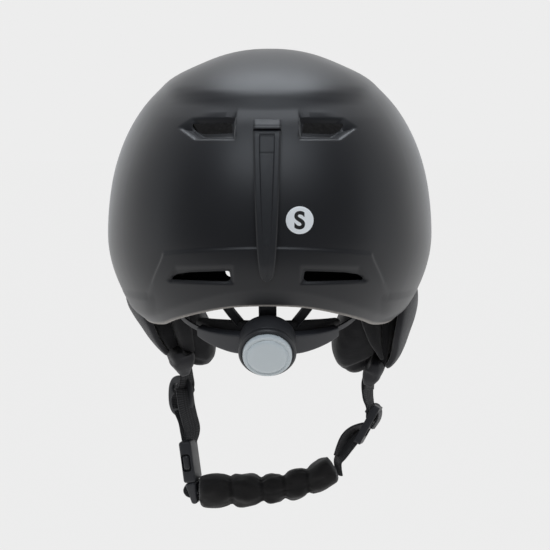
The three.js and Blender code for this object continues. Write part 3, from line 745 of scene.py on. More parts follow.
def slab(name, outer, inner, material, body, sharp=60):
    """A closed solid between two grids of points with the same shape."""
    rows, columns = outer.shape[:2]
    points = list(outer.reshape(-1, 3)) + list(inner.reshape(-1, 3))
    shift = rows * columns
    faces = []
    for i in range(rows - 1):
        for j in range(columns - 1):
            a = i * columns + j
            d = a + columns
            faces.append((a, a + 1, d + 1, d))
            faces.append((a + shift, d + shift, d + 1 + shift, a + 1 + shift))
    index = np.arange(shift).reshape(rows, columns)
    border = [*index[0], *index[1:, -1], *index[-1, -2::-1], *index[-2:0:-1, 0]]
    border = [int(i) for i in border]
    for a, b in zip(border, border[1:] + border[:1]):
        faces.append((a, b, b + shift, a + shift))
    return make(name, points, faces, material, body, sharp)


# ---------------------------------------------------------------- goggle clip and sticker
CLIP_TOP = -24.2
CLIP_TIP = -115.4
CLIP_WIDTHS = ((CLIP_TOP, 8.6), (-56, 7.9), (-93, 6.3), (-108, 4.9), (-113.5, 3.4), (CLIP_TIP, 1.2))
CAP_TOP = -15.4
CAP_FOOT = -23.7
CAP_HALF_WIDTH = 8.7


def back_point(x, z, stand):
    """A point over the plain back of the dome, stand millimetres off it."""
    dome = OUTER_DOME
    share = plan_share(dome, z)
    y = dome["length"] * share * (1 - np.abs(x / (dome["width"] * share)) ** PLAN_POWER) ** (1 / PLAN_POWER)
    nudge = 0.5
    slope = (dome["length"] * (plan_share(dome, z + nudge) - plan_share(dome, z - nudge))) / (2 * nudge)
    length = np.sqrt(1 + slope**2)
    return np.stack(np.broadcast_arrays(x, y + stand / length, z - stand * slope / length), axis=-1)


def build_clip():
    """The tongue: a panel sunk inside a raised frame, with a seam, a pip and rounded sides."""
    z, v = np.meshgrid(np.linspace(CLIP_TOP, CLIP_TIP, 190), np.linspace(-1, 1, 61), indexing="ij")
    half = through([(-row[0], row[1]) for row in CLIP_WIDTHS], -z)
    x = v * half
    to_side = half - np.abs(x)
    to_top = CLIP_TOP - z
    frame_edge = np.minimum(to_side - 3.9, to_top - 2.6)
    panel = step_between(-0.25, 0.35, frame_edge) * 0.9 * (1 - 0.75 * step_between(-66, -98, z))
    seam = 0.35 * np.exp(-((z + 38) / 0.45) ** 2) * step_between(0, 0.3, frame_edge)
    pip = 0.35 * np.exp(-((z + 93) ** 2 + x**2) / 5)
    round_side = 0.9 * (1 - step_between(0, 1.1, to_side)) + 0.6 * (1 - step_between(0, 1.2, to_top))
    tip = 1.6 * step_between(-104, CLIP_TIP, z)
    ledge = 0.5 * step_between(4.6, 1.6, to_top)
    top = back_point(x, z, 5.6 - panel - seam + pip - round_side - tip - ledge)
    under = back_point(x, z, np.full(z.shape, 2.5))
    clip = slab("clip_tongue", top, under, CLIP_PLASTIC, "goggle_clip", 70)
    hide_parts("goggle_clip")
    build_clip_cap()


def build_clip_cap():
    z, v = np.meshgrid(np.linspace(CAP_TOP, CAP_FOOT, 40), np.linspace(-1, 1, 41), indexing="ij")
    x = v * CAP_HALF_WIDTH
    to_side = CAP_HALF_WIDTH - np.abs(x)
    to_top = CAP_TOP - z
    lift = 1.2 + 3.6 * step_between(0, 6.2, to_top) ** 0.8
    round_off = 0.9 * (1 - step_between(0, 1.2, to_side)) + 0.7 * (1 - step_between(0, 0.9, to_top))
    ledge = 1.1 * step_between(6.4, 7.3, to_top)
    top = back_point(x, z, lift - round_off + ledge)
    under = back_point(x, z, np.full(z.shape, 0.1))
    cap = slab("clip_cap", top, under, CLIP_PLASTIC, "helmet", 70)
    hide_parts("clip_base")


STICKER_RADIUS = 8.65
STICKER_STAND = 0.34
LETTER_STAND = 0.42


def build_sticker():
    """A round label with a plain size letter, laid on the shell's curve."""
    middle = (STICKER_LOW + STICKER_HIGH) / 2 / MM
    centre = Vector((middle[0], 0, middle[2]))
    rings = np.linspace(0, STICKER_RADIUS, 9)
    count = 72
    points = [sticker_point(centre, 0, 0, STICKER_STAND)]
    for ring in rings[1:]:
        stand = STICKER_STAND if ring < STICKER_RADIUS else 0.1
        for a in np.linspace(0, math.tau, count, endpoint=False):
            points.append(sticker_point(centre, ring * math.cos(a), ring * math.sin(a), stand))
    faces = [(0, 1 + j, 1 + (j + 1) % count) for j in range(count)] + ring_faces(len(rings) - 1, count, 1)
    disc = make("size_label", points, faces, LABEL, "helmet", 50)
    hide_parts("size_sticker")
    build_letter(centre)


def sticker_point(centre, across, up, stand):
    """Across runs to the wearer's right, which is the reader's right."""
    return back_point(np.float64(centre.x - across), np.float64(centre.z + up), stand)


def build_letter(centre):
    curve = bpy.data.curves.new("size_letter", "FONT")
    curve.body = "S"
    curve.size = 0.0152
    curve.align_x = "CENTER"
    curve.align_y = "CENTER"
    curve.offset = 0.00042
    text = new_object("size_letter_text", curve)
    depsgraph = bpy.context.evaluated_depsgraph_get()
    mesh = bpy.data.meshes.new_from_object(text.evaluated_get(depsgraph))
    bpy.data.objects.remove(text)
    flat = [vertex.co / MM for vertex in mesh.vertices]
    middle_x = (max(p.x for p in flat) + min(p.x for p in flat)) / 2
    middle_y = (max(p.y for p in flat) + min(p.y for p in flat)) / 2
    for vertex, point in zip(mesh.vertices, flat):
        place = sticker_point(centre, point.x - middle_x, point.y - middle_y, LETTER_STAND)
        vertex.co = Vector(place) * MM
    letter = finish_mesh("size_letter", mesh, INK, "helmet", None)


# ---------------------------------------------------------------- fit system
def fit_points(points):
    """From the fit system's own frame, with Y out through the dial, to the row frame."""
    points = np.asarray(points, float)
    c, s = math.cos(FIT_TILT), math.sin(FIT_TILT)
    x, y, z = points[..., 0], points[..., 1], points[..., 2]
    turned = np.stack([x, y * c + z * s, z * c - y * s], axis=-1)
    return turned + np.array(FIT_CENTRE)


def fit_vectors(vectors):
    return fit_points(vectors) - np.array(FIT_CENTRE)


def arc_band(name, rows, steps, material, body, power, reach=0.0):
    """A band round the fit system's arc; rows are (degrees, low, high, near radius, far radius)."""
    rows = blend_rows(rows, steps)
    angle = np.radians(rows[:, 0])
    radial = np.stack([np.sin(angle), np.cos(angle), 0 * angle], axis=-1)
    middle = (rows[:, 3] + rows[:, 4]) / 2
    at = radial * middle[:, None] + np.stack([0 * angle, 0 * angle, (rows[:, 1] + rows[:, 2]) / 2], axis=-1)
    up = np.broadcast_to((0.0, 0.0, 1.0), at.shape)
    halves = np.stack([(rows[:, 2] - rows[:, 1]) / 2, (rows[:, 4] - rows[:, 3]) / 2], axis=-1)
    if reach:
        halves = halves * end_scale(len(rows), reach)[:, None]
    return loft(name, fit_points(at), fit_vectors(up), fit_vectors(radial), halves, material, body, power, 36)


def turned(name, profile, material, body):
    """A turned piece on the dial's axis; the profile is (radius, distance out from the fit centre)."""
    turn = np.linspace(0, math.tau, 96, endpoint=False)
    rings = np.array([[(r * math.cos(a), y, r * math.sin(a)) for a in turn] for r, y in profile])
    return close_rings(name, fit_points(rings), material, body, 40)


def build_cradle():
    half = [(41.5, -8.0, -0.8), (36, -9.4, 0), (26, -10.8, 2), (16, -11.2, 3.8)]
    wing_rows = [(-angle, low, high) for angle, low, high in half] + [(0, -9, 6)] + half[::-1]
    band = arc_band("cradle_wings", [(*row, 63, 69) for row in wing_rows], 120, WING_PLASTIC, "fit_cradle", 7)
    for side in (1, -1):
        channel = [(side * angle, -5.6, -0.8, 64.4, 67.6) for angle in (24, 36, 52)]
        cut(band, arc_band("channel", channel, 24, WING_PLASTIC, "fit_cradle", 12))
    smooth_mesh(band.data, 50)
    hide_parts("fit_cradle")
    housing = turned("dial_housing", [(0.4, 62), (16, 62), (17.8, 63), (18.3, 65), (18.3, 75.8), (18.0, 76.5),
                                      (17.4, 76.8), (0.4, 76.8)], DARK_PLASTIC, "fit_cradle")
    collar = turned("dial_collar", [(16.3, 77.2), (18.2, 77.2), (18.5, 77.8), (18.5, 79.2), (18.0, 80.2),
                                    (17.2, 80.7), (16.5, 80.5), (16.3, 79.8)], DARK_PLASTIC, "fit_cradle")
    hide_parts("dial_ring")
    nape_rows = []
    for angle in (-51, -44, -30, -15, 0, 15, 30, 44, 51):
        drop = 31.06 * math.cos(math.radians(angle))
        high = (-22.8 + drop) / math.cos(FIT_TILT)
        nape_rows.append((angle, -9 - 2 * (abs(angle) > 48), high, 56.2, 61.2))
    nape = arc_band("nape_band", nape_rows, 90, LINING, "fit_cradle", 3.4, 0.03)
    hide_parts("nape_pad")


def build_dial():
    knob = turned("dial_disc", [(0.4, 78), (15.4, 78), (15.7, 78.6), (15.7, 82.9), (15.4, 83.5), (14.7, 83.8),
                                (13.8, 83.7), (13.3, 83.3), (12.9, 83.4), (12.4, 84.2), (11.6, 84.7),
                                (10.0, 84.9), (0.4, 85.0)], DIAL_PLASTIC, "dial")
    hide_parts("dial_knob", "dial_cap")


def build_racks():
    for side, name in ((1, "rack_left"), (-1, "rack_right")):
        rows = [(side * 14, -4.6, -0.2), (side * 38, -5.2, -1.4), (side * 50, -6.4, -2.4),
                (side * 62, -6.6, -2.4), (side * 84, -4.4, 0.6)]
        rack = arc_band(f"{name}_strip", [(*row, 65.3, 66.7) for row in rows], 60, WING_PLASTIC, name, 6)
        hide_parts(name)


# Each hanger: its name, its top, middle and lower points, and its half width.
HANGERS = (("centre", (0, 104, -131.6), (0, 99.6, -139), (0, 95.8, -147), 5.7),
           ("left", (28, 100, -131.6), (23, 97, -138.6), (16.5, 92.4, -147), 3.0),
           ("right", (-28, 100, -131.6), (-23, 97, -138.6), (-16.5, 92.4, -147), 3.0))


def build_hangers():
    """Each strip has a raised rim down both edges."""
    for name, top, middle, low, half in HANGERS:
        rows = blend_rows([top, middle, low], 24)
        run = unit(np.gradient(rows, axis=0))
        across = unit(np.cross(run, np.broadcast_to((0.0, 1.0, 0.35), run.shape)))
        if across[0, 0] < 0:
            across = -across
        out = unit(np.cross(across, run))
        out = out * np.sign(out[:, 1:2])
        v = np.linspace(-1, 1, 25)
        lip = 0.55 * (1 - np.clip((1 - np.abs(v)) * half / 1.0, 0, 1) ** 2)
        spread = rows[:, None] + across[:, None] * (v[None, :, None] * half)
        face = spread + out[:, None] * (0.55 + lip[None, :, None])
        back = spread - out[:, None] * 0.7
        strip = slab(f"hanger_{name}_strip", face, back, DARK_PLASTIC, None)
        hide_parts(f"hanger_{name}")
        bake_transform(strip)


# ---------------------------------------------------------------- ear pads
def wrap(side):
    """Bends a flat ear piece round the head."""
    def change(point):
        return point[0] - side * (point[1] - STRAP_Y * 0.5) ** 2 / 210, point[1], point[2]
    return change


# Each ear pad's layers as rows of (height, outer face, inner face, half length front to back), and the fold
# pressed into its cushion from one (x, z) to another, with its depth.
EARS = {
    "left": {
        "side": 1,
        "flap": [(-119, 95.5, 90, 43), (-128, 98.2, 92, 43.5), (-137, 98, 91.2, 43), (-145, 94, 87.4, 41),
                 (-153, 88.6, 82.4, 37), (-161, 83.2, 77.6, 31), (-168, 77.4, 72.4, 25),
                 (-174.5, 70.8, 66.2, 17)],
        "web": [(-122, 89, 77, 38.6), (-140, 87.4, 75.4, 37.6), (-152, 81.4, 70.4, 34),
                (-160, 76.6, 67, 29.6), (-167, 71.6, 63.6, 25)],
        "panel": [(-124, 76, 62, 37.6), (-140, 74.6, 59, 36.6), (-150, 71, 55.8, 34.6),
                  (-158, 67.6, 53.4, 31.6), (-165, 64.6, 51.6, 27.6), (-171, 61.6, 51, 23.6)],
        "cushion": [(-122, 78, 66, 36), (-136, 76, 57, 36), (-148, 71, 46.5, 33), (-158, 66, 40.5, 29),
                    (-168, 61.5, 37, 24), (-177, 58, 37.6, 19), (-182.6, 55, 40.5, 13)],
        "crease": ((56, -176), (45, -179), 1.2),
        "pocket": [(-163.6, 67.6, 62.4, 28), (-168.6, 72, 56.6, 27), (-174, 70.4, 52.6, 24),
                   (-180, 66, 53.2, 19), (-186.4, 60.8, 55.4, 12)],
    },
    "right": {
        "side": -1,
        "flap": [(-119, 96, 90.4, 43), (-128, 100, 93.6, 43.5), (-138, 100.8, 93.8, 43),
                 (-148, 99, 91.8, 41), (-158, 95.6, 88.8, 37), (-168, 91.8, 85.6, 30),
                 (-176, 87.6, 82.2, 24), (-183.5, 81, 77.4, 16)],
        "web": [(-122, 88, 81, 36), (-140, 88, 81, 35), (-155, 86, 79.6, 31), (-170, 82.4, 77, 24),
                (-182, 79, 75, 15)],
        "panel": [(-124, 79, 63, 38), (-140, 79, 63.4, 37), (-152, 79, 65.4, 34), (-162, 79, 69, 30),
                  (-170, 79.4, 73, 25), (-176, 79.6, 76, 20)],
        "cushion": [(-122, 80, 68, 36), (-136, 78.5, 60, 36), (-148, 77.4, 49.4, 34),
                    (-160, 75.6, 43.4, 30), (-171, 73, 42, 25), (-180, 70, 47, 19), (-188, 66.5, 55, 12)],
        "crease": ((-52, -184), (-74, -175), 1.9),
        "pocket": [(-172, 77.6, 71, 21), (-179, 79.4, 67, 20), (-184, 77.6, 64.4, 17),
                   (-189, 74.4, 63.6, 13.5), (-193.6, 71, 64, 10)],
    },
}


def ear_piece(name, rows, side, material, power, steps, reach):
    path = []
    for z, outer, inner, half in rows:
        share = (z - rows[0][0]) / (-195 - rows[0][0])
        path.append((side * (outer + inner) / 2, STRAP_Y * share, z, half, abs(outer - inner) / 2, 0))
    return sweep(name, path, material, "helmet", power, 48, steps, reach, None, wrap(side))


def build_ears():
    for name, ear in EARS.items():
        side = ear["side"]
        flap = ear_piece(f"ear_cover_{name}", ear["flap"], side, EAR_FABRIC, 4.5, 40, 0.08)
        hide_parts(f"ear_flap_{name}")
        # The web takes the darker copy of the lining, painted shade in the gap under the ear cover.
        web = ear_piece(f"ear_web_{name}", ear["web"], side, SHADED_LINING, 6, 30, 0.04)
        panel = ear_piece(f"ear_panel_{name}", ear["panel"], side, LINING, 3.4, 30, 0.06)
        crumple(panel, 0.5, 0.08)
        cushion = ear_piece(f"ear_pillow_{name}", ear["cushion"], side, LINING, 2.6, 40, 0.22)
        puff(cushion, 4.0, 0.0042, LINING)
        crease(cushion, *ear["crease"])
        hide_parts(f"ear_cushion_{name}")
        pocket = ear_piece(f"strap_pocket_{name}", ear["pocket"], side, EAR_FABRIC, 4.5, 30, 0.04)
        crumple(pocket, 0.7, 0.12)
        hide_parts(f"strap_sleeve_{name}")


def with_normals(obj):
    """Each vertex with its normal as it is before any vertex moves."""
    return zip(obj.data.vertices, [n.vector.copy() for n in obj.data.vertex_normals])


def crease(obj, start, end, depth):
    """A fold pressed into a soft piece along a line from start to end, each (x, z)."""
    line = Vector(end) - Vector(start)
    across = Vector((-line.y, line.x)).normalized()
    for vertex, normal in with_normals(obj):
        from_start = Vector((vertex.co.x, vertex.co.z)) / MM - Vector(start)
        away = from_start.dot(across)
        along = from_start.dot(line) / line.length_squared
        reach = step_between(-0.15, 0.1, along) * (1 - step_between(0.9, 1.15, along))
        press = depth * math.exp(-(away / 1.4) ** 2) - 0.2 * depth * math.exp(-((away - 3.6) / 3) ** 2)
        vertex.co -= normal * float(press * reach) * MM


def crumple(obj, depth, fineness):
    """Small soft folds, the same on every run."""
    for vertex, normal in with_normals(obj):
        place = vertex.co / MM * fineness
        vertex.co += normal * noise(Vector((place.x * 1.3, place.y, place.z * 0.8))) * depth * MM


def puff(obj, cap, voxel, material):
    """Blows the piece up like a sewn cushion by cloth simulation, with no point moving past the cap.

    The cap is in millimetres, and the voxel, which sets how fine the cloth is, in metres.
    """
    remesh = obj.modifiers.new("remesh", "REMESH")
    remesh.mode = "VOXEL"
    remesh.voxel_size = voxel
    apply_modifiers(obj)
    obj.data.materials.clear()
    obj.data.materials.append(material)
    start = [vertex.co.copy() for vertex in obj.data.vertices]
    cloth = obj.modifiers.new("cloth", "CLOTH")
    settings = cloth.settings
    settings.effector_weights.gravity = 0
    settings.use_pressure = True
    settings.uniform_pressure_force = 4
    settings.quality = 6
    settings.tension_stiffness = 12
    settings.bending_stiffness = 0.4
    for frame_number in range(1, 21):
        bpy.context.scene.frame_set(frame_number)
    apply_modifiers(obj)
    bpy.context.scene.frame_set(1)
    for vertex, place in zip(obj.data.vertices, start):
        move = vertex.co - place
        if move.length > cap * MM:
            vertex.co = place + move.normalized() * cap * MM
    subdivide(obj)


# ---------------------------------------------------------------- chin strap
WEB_HALF = 7.5
WEB_WALL = 0.8


# Each strap: its name, the node it stands for, and rows of (x, offset from the strap's plane, z, turn).
STRAPS = (
    ("left_webbing", "strap_left",
     ((58.0, 0, -182.5, 26), (57.4, 0, -190, 32), (57.3, 0, -196.5, 40), (59.6, -2.2, -202, 43),
      (62.6, -5, -207, 43), (61.6, -4.4, -213, 43))),
    ("left_webbing_return", "strap_left_return",
     ((61.6, -3.4, -206.2, 45), (60.2, -1.8, -201.2, 45), (58.8, 2.6, -199.6, 45), (58.0, 4.6, -204, 45),
      (57, 4.4, -211, 44), (55.2, 2.4, -219.4, 43), (53.6, 0, -227, 42), (54.2, 0, -233.4, 34),
      (55.0, 0, -238, 24))),
    ("left_webbing_loop", None,
     ((61.0, -3, -213, 43), (58.0, -1.6, -221, 40), (57.0, -1, -229, 34), (56.4, 0, -237.6, 24))),
    ("right_webbing", "strap_right",
     ((-67.8, 0, -189.5, 30), (-66.6, 0, -195, 32), (-67.0, 0, -204, 28), (-68.4, 0, -211, 20),
      (-67.4, 0, -219, 12))),
    ("right_webbing_fold", None,
     ((-66.2, 0, -216.8, 10), (-69.8, 0, -212.4, 12), (-73.4, 0, -211.8, 12), (-75.0, 0, -215.4, 12),
      (-74.0, 0, -220.4, 12), (-69.8, 0, -226.8, 12))),
    ("right_webbing_lower", "strap_right_lower",
     ((-68.6, 0, -222.6, 12), (-61.8, 0, -224.6, 19), (-56, 0, -227.6, 24), (-51.8, 0, -232, 26),
      (-48.8, 0, -238, 24), (-45.8, 0, -245.4, 18))),
    ("right_webbing_tail", "strap_tail",
     ((-62.4, 0, -228.2, -20), (-56.2, 0, -235.2, -24), (-49.8, 0, -243.8, -22), (-46.6, 0, -248.4, -18),
      (-46.6, 0, -253.4, -16), (-47.6, 0, -259, -15))),
)
# The webbing between each pad's sleeve and the swinging loop: its upper and lower ends as (x, z).
STRAP_ROOTS = {"left": ((58.2, -183.4), (57.5, -190.6)), "right": ((-68.8, -190), (-67.2, -198))}


def strap(name, rows, body, node, steps=64):
    """Webbing along rows of (x, offset from the strap's plane, z, turn)."""
    path = [(x, STRAP_Y + offset, z, WEB_HALF, WEB_WALL, turn) for x, offset, z, turn in rows]
    piece = sweep(name, path, WEBBING, body, 5, 32, steps, 0.02, 70)
    if node:
        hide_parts(node)
    return piece


def build_straps():
    for name, node, rows in STRAPS:
        strap(name, rows, "chin_loop", node)
    for name, ((x0, z0), (x1, z1)) in STRAP_ROOTS.items():
        rows = ((x0, 0, z0 + 3, 20), ((x0 + x1) / 2, 0, (z0 + z1) / 2, 26), (x1, 0, z1 - 2, 30))
        root = strap(f"{name}_webbing_root", rows, None, f"strap_root_{name}", 24)
        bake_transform(root)


def plate(name, outline, holes, thickness, place, material, body, edge):
    """A flat moulding from an outline in its own XY plane, with holes, set by a matrix in millimetres."""
    def at(x, y, height):
        return place @ Vector((x, y, height))
    obj = make(name, *prism(outline, (-thickness / 2, thickness / 2), at), material, body, None)
    for hole in holes:
        cut(obj, new_object("hole", mesh_from("hole", *prism(hole, (-thickness, thickness), at))))
    bevel(obj, edge)
    return obj


def rounded_box(half_length, half_width, radius, x=0.0, y=0.0):
    """The outline of a box with rounded corners about the point x, y."""
    corners = [(-half_length, -half_width), (half_length, -half_width), (half_length, half_width),
               (-half_length, half_width)]
    return [(px + x, py + y) for px, py in rounded(corners, radius, 0, 6)]


def oval(half_length, half_width, power):
    turn = np.linspace(0, math.tau, 56, endpoint=False)
    return list(zip(half_length * signed_power(np.cos(turn), 2 / power),
                    half_width * signed_power(np.sin(turn), 2 / power)))


def build_locks():
    """Ladder locks: rounded plates with a slot either side of a bar."""
    turn = math.radians(42)
    upright = Matrix.Rotation(-turn, 4, "Z") @ Matrix.Rotation(math.radians(90), 4, "X")
    left_place = Matrix.Translation((61.4, -12.4, -204.6)) @ upright
    slots = [rounded_box(5.8, 3.0, 2.6, 0, 5.6), rounded_box(5.8, 2.4, 2.0, 0, -5.0)]
    left = plate("lock_left", oval(11, 14.2, 2.5), slots, 4.2, left_place, DARK_GLOSS, "chin_loop", 1.3)
    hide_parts("ladder_lock_left")
    right_place = (Matrix.Translation((-67.2, STRAP_Y, -223.4)) @ Matrix.Rotation(math.radians(-119), 4, "Y")
                   @ Matrix.Rotation(math.radians(-9), 4, "X"))
    slots = [rounded_box(3.0, 7.8, 1.4, x) for x in (6.0, -5.4)]
    right = plate("lock_right", rounded_box(14.4, 10.2, 1.8), slots, 5, right_place, DARK_GLOSS,
                  "chin_loop", 0.8)
    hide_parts("ladder_lock_right")


def block(name, size, place, material, body, edge, taper=1.0):
    """A moulded block with rounded edges; taper narrows its lower end."""
    sx, sy, sz = (s / 2 for s in size)
    points = []
    for z, share in ((-sz, taper), (sz, 1.0)):
        points += [place @ Vector((x * share, y * share, z))
                   for x, y in ((-sx, -sy), (sx, -sy), (sx, sy), (-sx, sy))]
    faces = [(0, 1, 2, 3), (7, 6, 5, 4), (0, 1, 5, 4), (1, 2, 6, 5), (2, 3, 7, 6), (3, 0, 4, 7)]
    obj = make(name, points, faces, material, body, None)
    bevel(obj, edge, 4)
    return obj


# What is hollowed out of the buckle's socket: size, place in the buckle's own frame, and edge radius.
SOCKET_HOLLOWS = (((6.4, 9, 12.2), (0.6, 11.5, -0.4), 2.2), ((6.4, 9, 12.2), (0.6, -11.5, -0.4), 2.2),
                  ((5.2, 18, 6), (0, 0, 14), 0.8), ((6.2, 19, 24), (0.5, 0, -6), 0.6))


def buckle_block(name, size, place, material, body, edge, taper=1.0):
    """A block placed in the buckle's own frame, whose Z runs up out of the plug."""
    frame_place = (Matrix.Translation((54.9, STRAP_Y, -248.2)) @ Matrix.Rotation(math.radians(7.5), 4, "Y")
                   @ Matrix.Rotation(math.radians(-9), 4, "Z"))
    return block(name, size, frame_place @ Matrix.Translation(place), material, body, edge, taper)


def build_buckle():
    female = buckle_block("buckle_socket", (8.6, 23, 28.4), (0, 0, 0), DARK_GLOSS, "chin_loop", 1.7)
    for size, place, edge in SOCKET_HOLLOWS:
        cut(female, buckle_block("hollow", size, place, DARK_GLOSS, None, edge))
    smooth_mesh(female.data, 50)
    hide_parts("buckle_female")
    for name, side in (("rear", 1), ("front", -1)):
        finger = buckle_block(f"buckle_finger_{name}", (5.0, 4.4, 10.4), (0.6, side * 9.3, -0.4),
                              DARK_PLASTIC, f"prong_{name}", 1.8)
        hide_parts(f"buckle_prong_{name}")
        arm = buckle_block(f"buckle_arm_{name}", (3.6, 2.2, 13), (0.3, side * 7.9, -9.2), DARK_PLASTIC,
                           f"prong_{name}", 0.5)
    male = buckle_block("buckle_plug", (7.8, 21.5, 15.4), (0, 0, -22.4), DARK_GLOSS, "chin_guard", 1.6, 0.5)
    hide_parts("buckle_male")
    guide = buckle_block("buckle_guide", (3.2, 6, 15), (0, 0, -9.4), DARK_GLOSS, "chin_guard", 0.7)
    build_chin_webbing()


def build_chin_webbing():
    """The small sewn loop under the plug, and the webbing that joins it to the chin pad."""
    curl_places = ((52.6, -265.2), (56.4, -266), (58.4, -268.8), (56.8, -271.8), (53.0, -273.2))
    curl = sweep("chin_webbing_curl", [(x, STRAP_Y, z, 5.5, 1.3, 0) for x, z in curl_places],
                 WEBBING, "chin_guard", 5, 24, 36, 0.02)
    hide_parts("chin_web_loop")
    joiner_places = ((52.2, -271), (49.4, -270), (45.6, -268.6))
    joiner = sweep("chin_webbing_end", [(x, STRAP_Y, z, 7.2, 0.8, 0) for x, z in joiner_places],
                   WEBBING, "chin_guard", 5, 24, 16)


# Rows of the chin pad: x, z and its share of full size; the lumps run between the sewn channels.
CHIN_ROWS = ((49, -269.6, 0.9), (45, -269.5, 1.04), (37, -269.2, 1.1), (26.5, -269.2, 1.04),
             (15.5, -269.2, 1.04), (5.4, -268.7, 0.98), (-2, -268, 0.98), (-9.9, -266.8, 0.97),
             (-18, -265.2, 1.02), (-25.8, -262.6, 0.99), (-35, -258.4, 0.98), (-44.6, -252.9, 0.93))
CHIN_CHANNELS = (26.5, 5.4, -9.9, -25.8)
CHIN_HALF_DEPTH = 14.5
CHIN_HALF_HEIGHT = 10


def build_chin_pad():
    path = [(x, STRAP_Y, z, CHIN_HALF_DEPTH * share, CHIN_HALF_HEIGHT * share, 0)
            for x, z, share in CHIN_ROWS]
    pad = sweep("chin_sleeve", path, CHIN_FABRIC, "chin_guard", 2.5, 48, 90, 0.015, None)
    puff(pad, 1.2, 0.0030, CHIN_FABRIC)
    for vertex in pad.data.vertices:
        vertex.co = chin_shape(vertex.co / MM) * MM
    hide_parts("chin_pad")


def chin_shape(point):
    """Sewn channels pull the sleeve in, with small gathers beside them and a seam along the back."""
    rows = sorted(CHIN_ROWS)
    z = float(through([(row[0], row[1]) for row in rows], point.x))
    pull = 0.0
    gather = 0.0
    for channel in CHIN_CHANNELS:
        lean = channel + (0.06 * (point.z - z))
        away = abs(point.x - lean)
        pull += 0.15 * math.exp(-(away / 2) ** 2) + 0.11 * math.exp(-(away / 5.5) ** 2)
        gather += math.exp(-(away / 6) ** 2)
    fold = noise(Vector((point.x * 0.15, point.y * 0.4, point.z * 0.45))) * 0.8 * gather
    soft = noise(Vector((point.x * 0.09, point.y * 0.1, point.z * 0.14 + 5))) * 1.9
    around = Vector((0, point.y - STRAP_Y, point.z - z))
    radius = around.length
    seam = 0.5 * math.exp(-((point.z - z + 1.5) / 0.7) ** 2) * (point.y > STRAP_Y)
    move = (1 - pull) * radius + fold + soft - seam - radius
    return point + around.normalized() * move


# ---------------------------------------------------------------- comfort pads
PAD_CAP = 1.3
PAD_VOXEL = 0.0034


def pad_from(node):
    """A sewn pad blown up from a node's plain solid."""
    source = bpy.data.objects[node]
    mesh = source.data.copy()
    mesh.transform(source.matrix_world)
    mesh.materials.clear()
    pad = finish_mesh(f"{node}_cushion", mesh, LINING, "helmet", None)
    puff(pad, PAD_CAP, PAD_VOXEL, LINING)
    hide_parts(node)


def build_comfort_pads():
    for node in ("crown_pad", "brow_pad", "rear_pad", "side_pad_left", "side_pad_right"):
        pad_from(node)


def finish_small_parts():
    """The plain solids that stay get their materials here."""
    plastic_nodes = ("hanger_plug_centre", "hanger_plug_left", "hanger_plug_right", "strap_rivet_left",
                     "strap_rivet_right", "clip_stud", "dial_pinion")
    webbing_nodes = ("strap_inner_left", "strap_inner_right")
    for nodes, material in ((plastic_nodes, DARK_PLASTIC), (webbing_nodes, WEBBING)):
        for node in nodes:
            for slot in bpy.data.objects[node].material_slots:
                slot.material = material


# ---------------------------------------------------------------- camera, light and floor
PAPER_WHITE = 0.847
CAMERA_SIDE_GREY = 0.12


def build_camera():
    target = Vector((-0.0034, 0, -0.1204))
    elevation = math.radians(3.6)
    turn = math.radians(-0.75)
    distance = 1.6
    camera = bpy.data.cameras.new("camera")
    camera.lens = 154
    camera.sensor_width = 36
    eye = new_object("camera", camera)
    eye.location = target + distance * Vector((math.sin(turn), math.cos(elevation), math.sin(elevation)))
    eye.rotation_euler = (target - eye.location).to_track_quat("-Z", "Y").to_euler()
    bpy.context.scene.camera = eye


def area_light(name, location, target, size, power):
    light = bpy.data.lights.new(name, "AREA")
    light.shape = "RECTANGLE"
    light.size, light.size_y = size
    light.energy = power
    light.color = (0.87, 0.93, 1.0)
    lamp = new_object(name, light)
    lamp.location = location
    lamp.rotation_euler = (Vector(target) - Vector(location)).to_track_quat("-Z", "Y").to_euler()


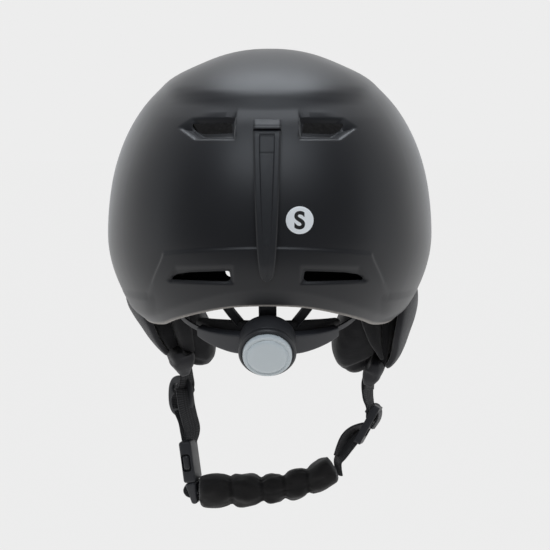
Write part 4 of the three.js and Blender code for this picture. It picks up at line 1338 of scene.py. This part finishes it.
def build_world():
    """A pale studio all round, darker on the camera's side."""
    world = bpy.data.worlds.new("studio")
    world.use_nodes = True
    tree = world.node_tree
    background = tree.nodes["Background"]
    coords = tree.nodes.new("ShaderNodeTexCoord")
    split = tree.nodes.new("ShaderNodeSeparateXYZ")
    tree.links.new(coords.outputs["Generated"], split.inputs["Vector"])
    towards = tree.nodes.new("ShaderNodeMapRange")
    towards.interpolation_type = "SMOOTHSTEP"
    towards.inputs["From Min"].default_value = -0.75
    towards.inputs["From Max"].default_value = 0.55
    towards.inputs["To Min"].default_value = PAPER_WHITE
    towards.inputs["To Max"].default_value = CAMERA_SIDE_GREY
    tree.links.new(split.outputs["Y"], towards.inputs["Value"])
    tree.links.new(towards.outputs["Result"], background.inputs["Color"])
    bpy.context.scene.world = world
    bpy.context.scene.view_settings.view_transform = "Standard"


def build_stage():
    """A wide pale floor, lit from below like a light table, so that no shadow or horizon shows."""
    floor = bpy.data.meshes.new("floor")
    reach = 60
    height = -0.9
    camera_end = 1.5
    floor.from_pydata([(-reach, -reach, height), (reach, -reach, height), (reach, camera_end, height),
                       (-reach, camera_end, height)], [], [(0, 1, 2, 3)])
    plane = new_object("floor", floor)
    material, _, shader = new_material("floor", (0.02, 0.02, 0.02), 1.0)
    shader.inputs["Specular IOR Level"].default_value = 0
    shader.inputs["Emission Color"].default_value = (PAPER_WHITE, PAPER_WHITE, PAPER_WHITE, 1)
    shader.inputs["Emission Strength"].default_value = 0.985
    floor.materials.append(material)


def build_lights():
    area_light("overhead", (0, -0.25, 1.3), (0, 0, -0.05), (0.9, 0.9), 13.5)
    area_light("front_key", (0, 1.9, 1.7), (0, 0, -0.1), (1.8, 1.2), 30)
    area_light("left_side", (1.9, 0.3, 0.2), (0, 0, -0.1), (0.8, 1.6), 2.2)
    area_light("right_side", (-1.9, 0.3, 0.2), (0, 0, -0.1), (0.8, 1.6), 2.2)


build_camera()
build_world()
build_stage()
build_lights()
build_shell()
build_foam()
build_vent_lining()
build_clip()
build_sticker()
build_cradle()
build_dial()
build_racks()
build_hangers()
build_ears()
build_straps()
build_locks()
build_buckle()
build_chin_pad()
build_comfort_pads()
finish_small_parts()
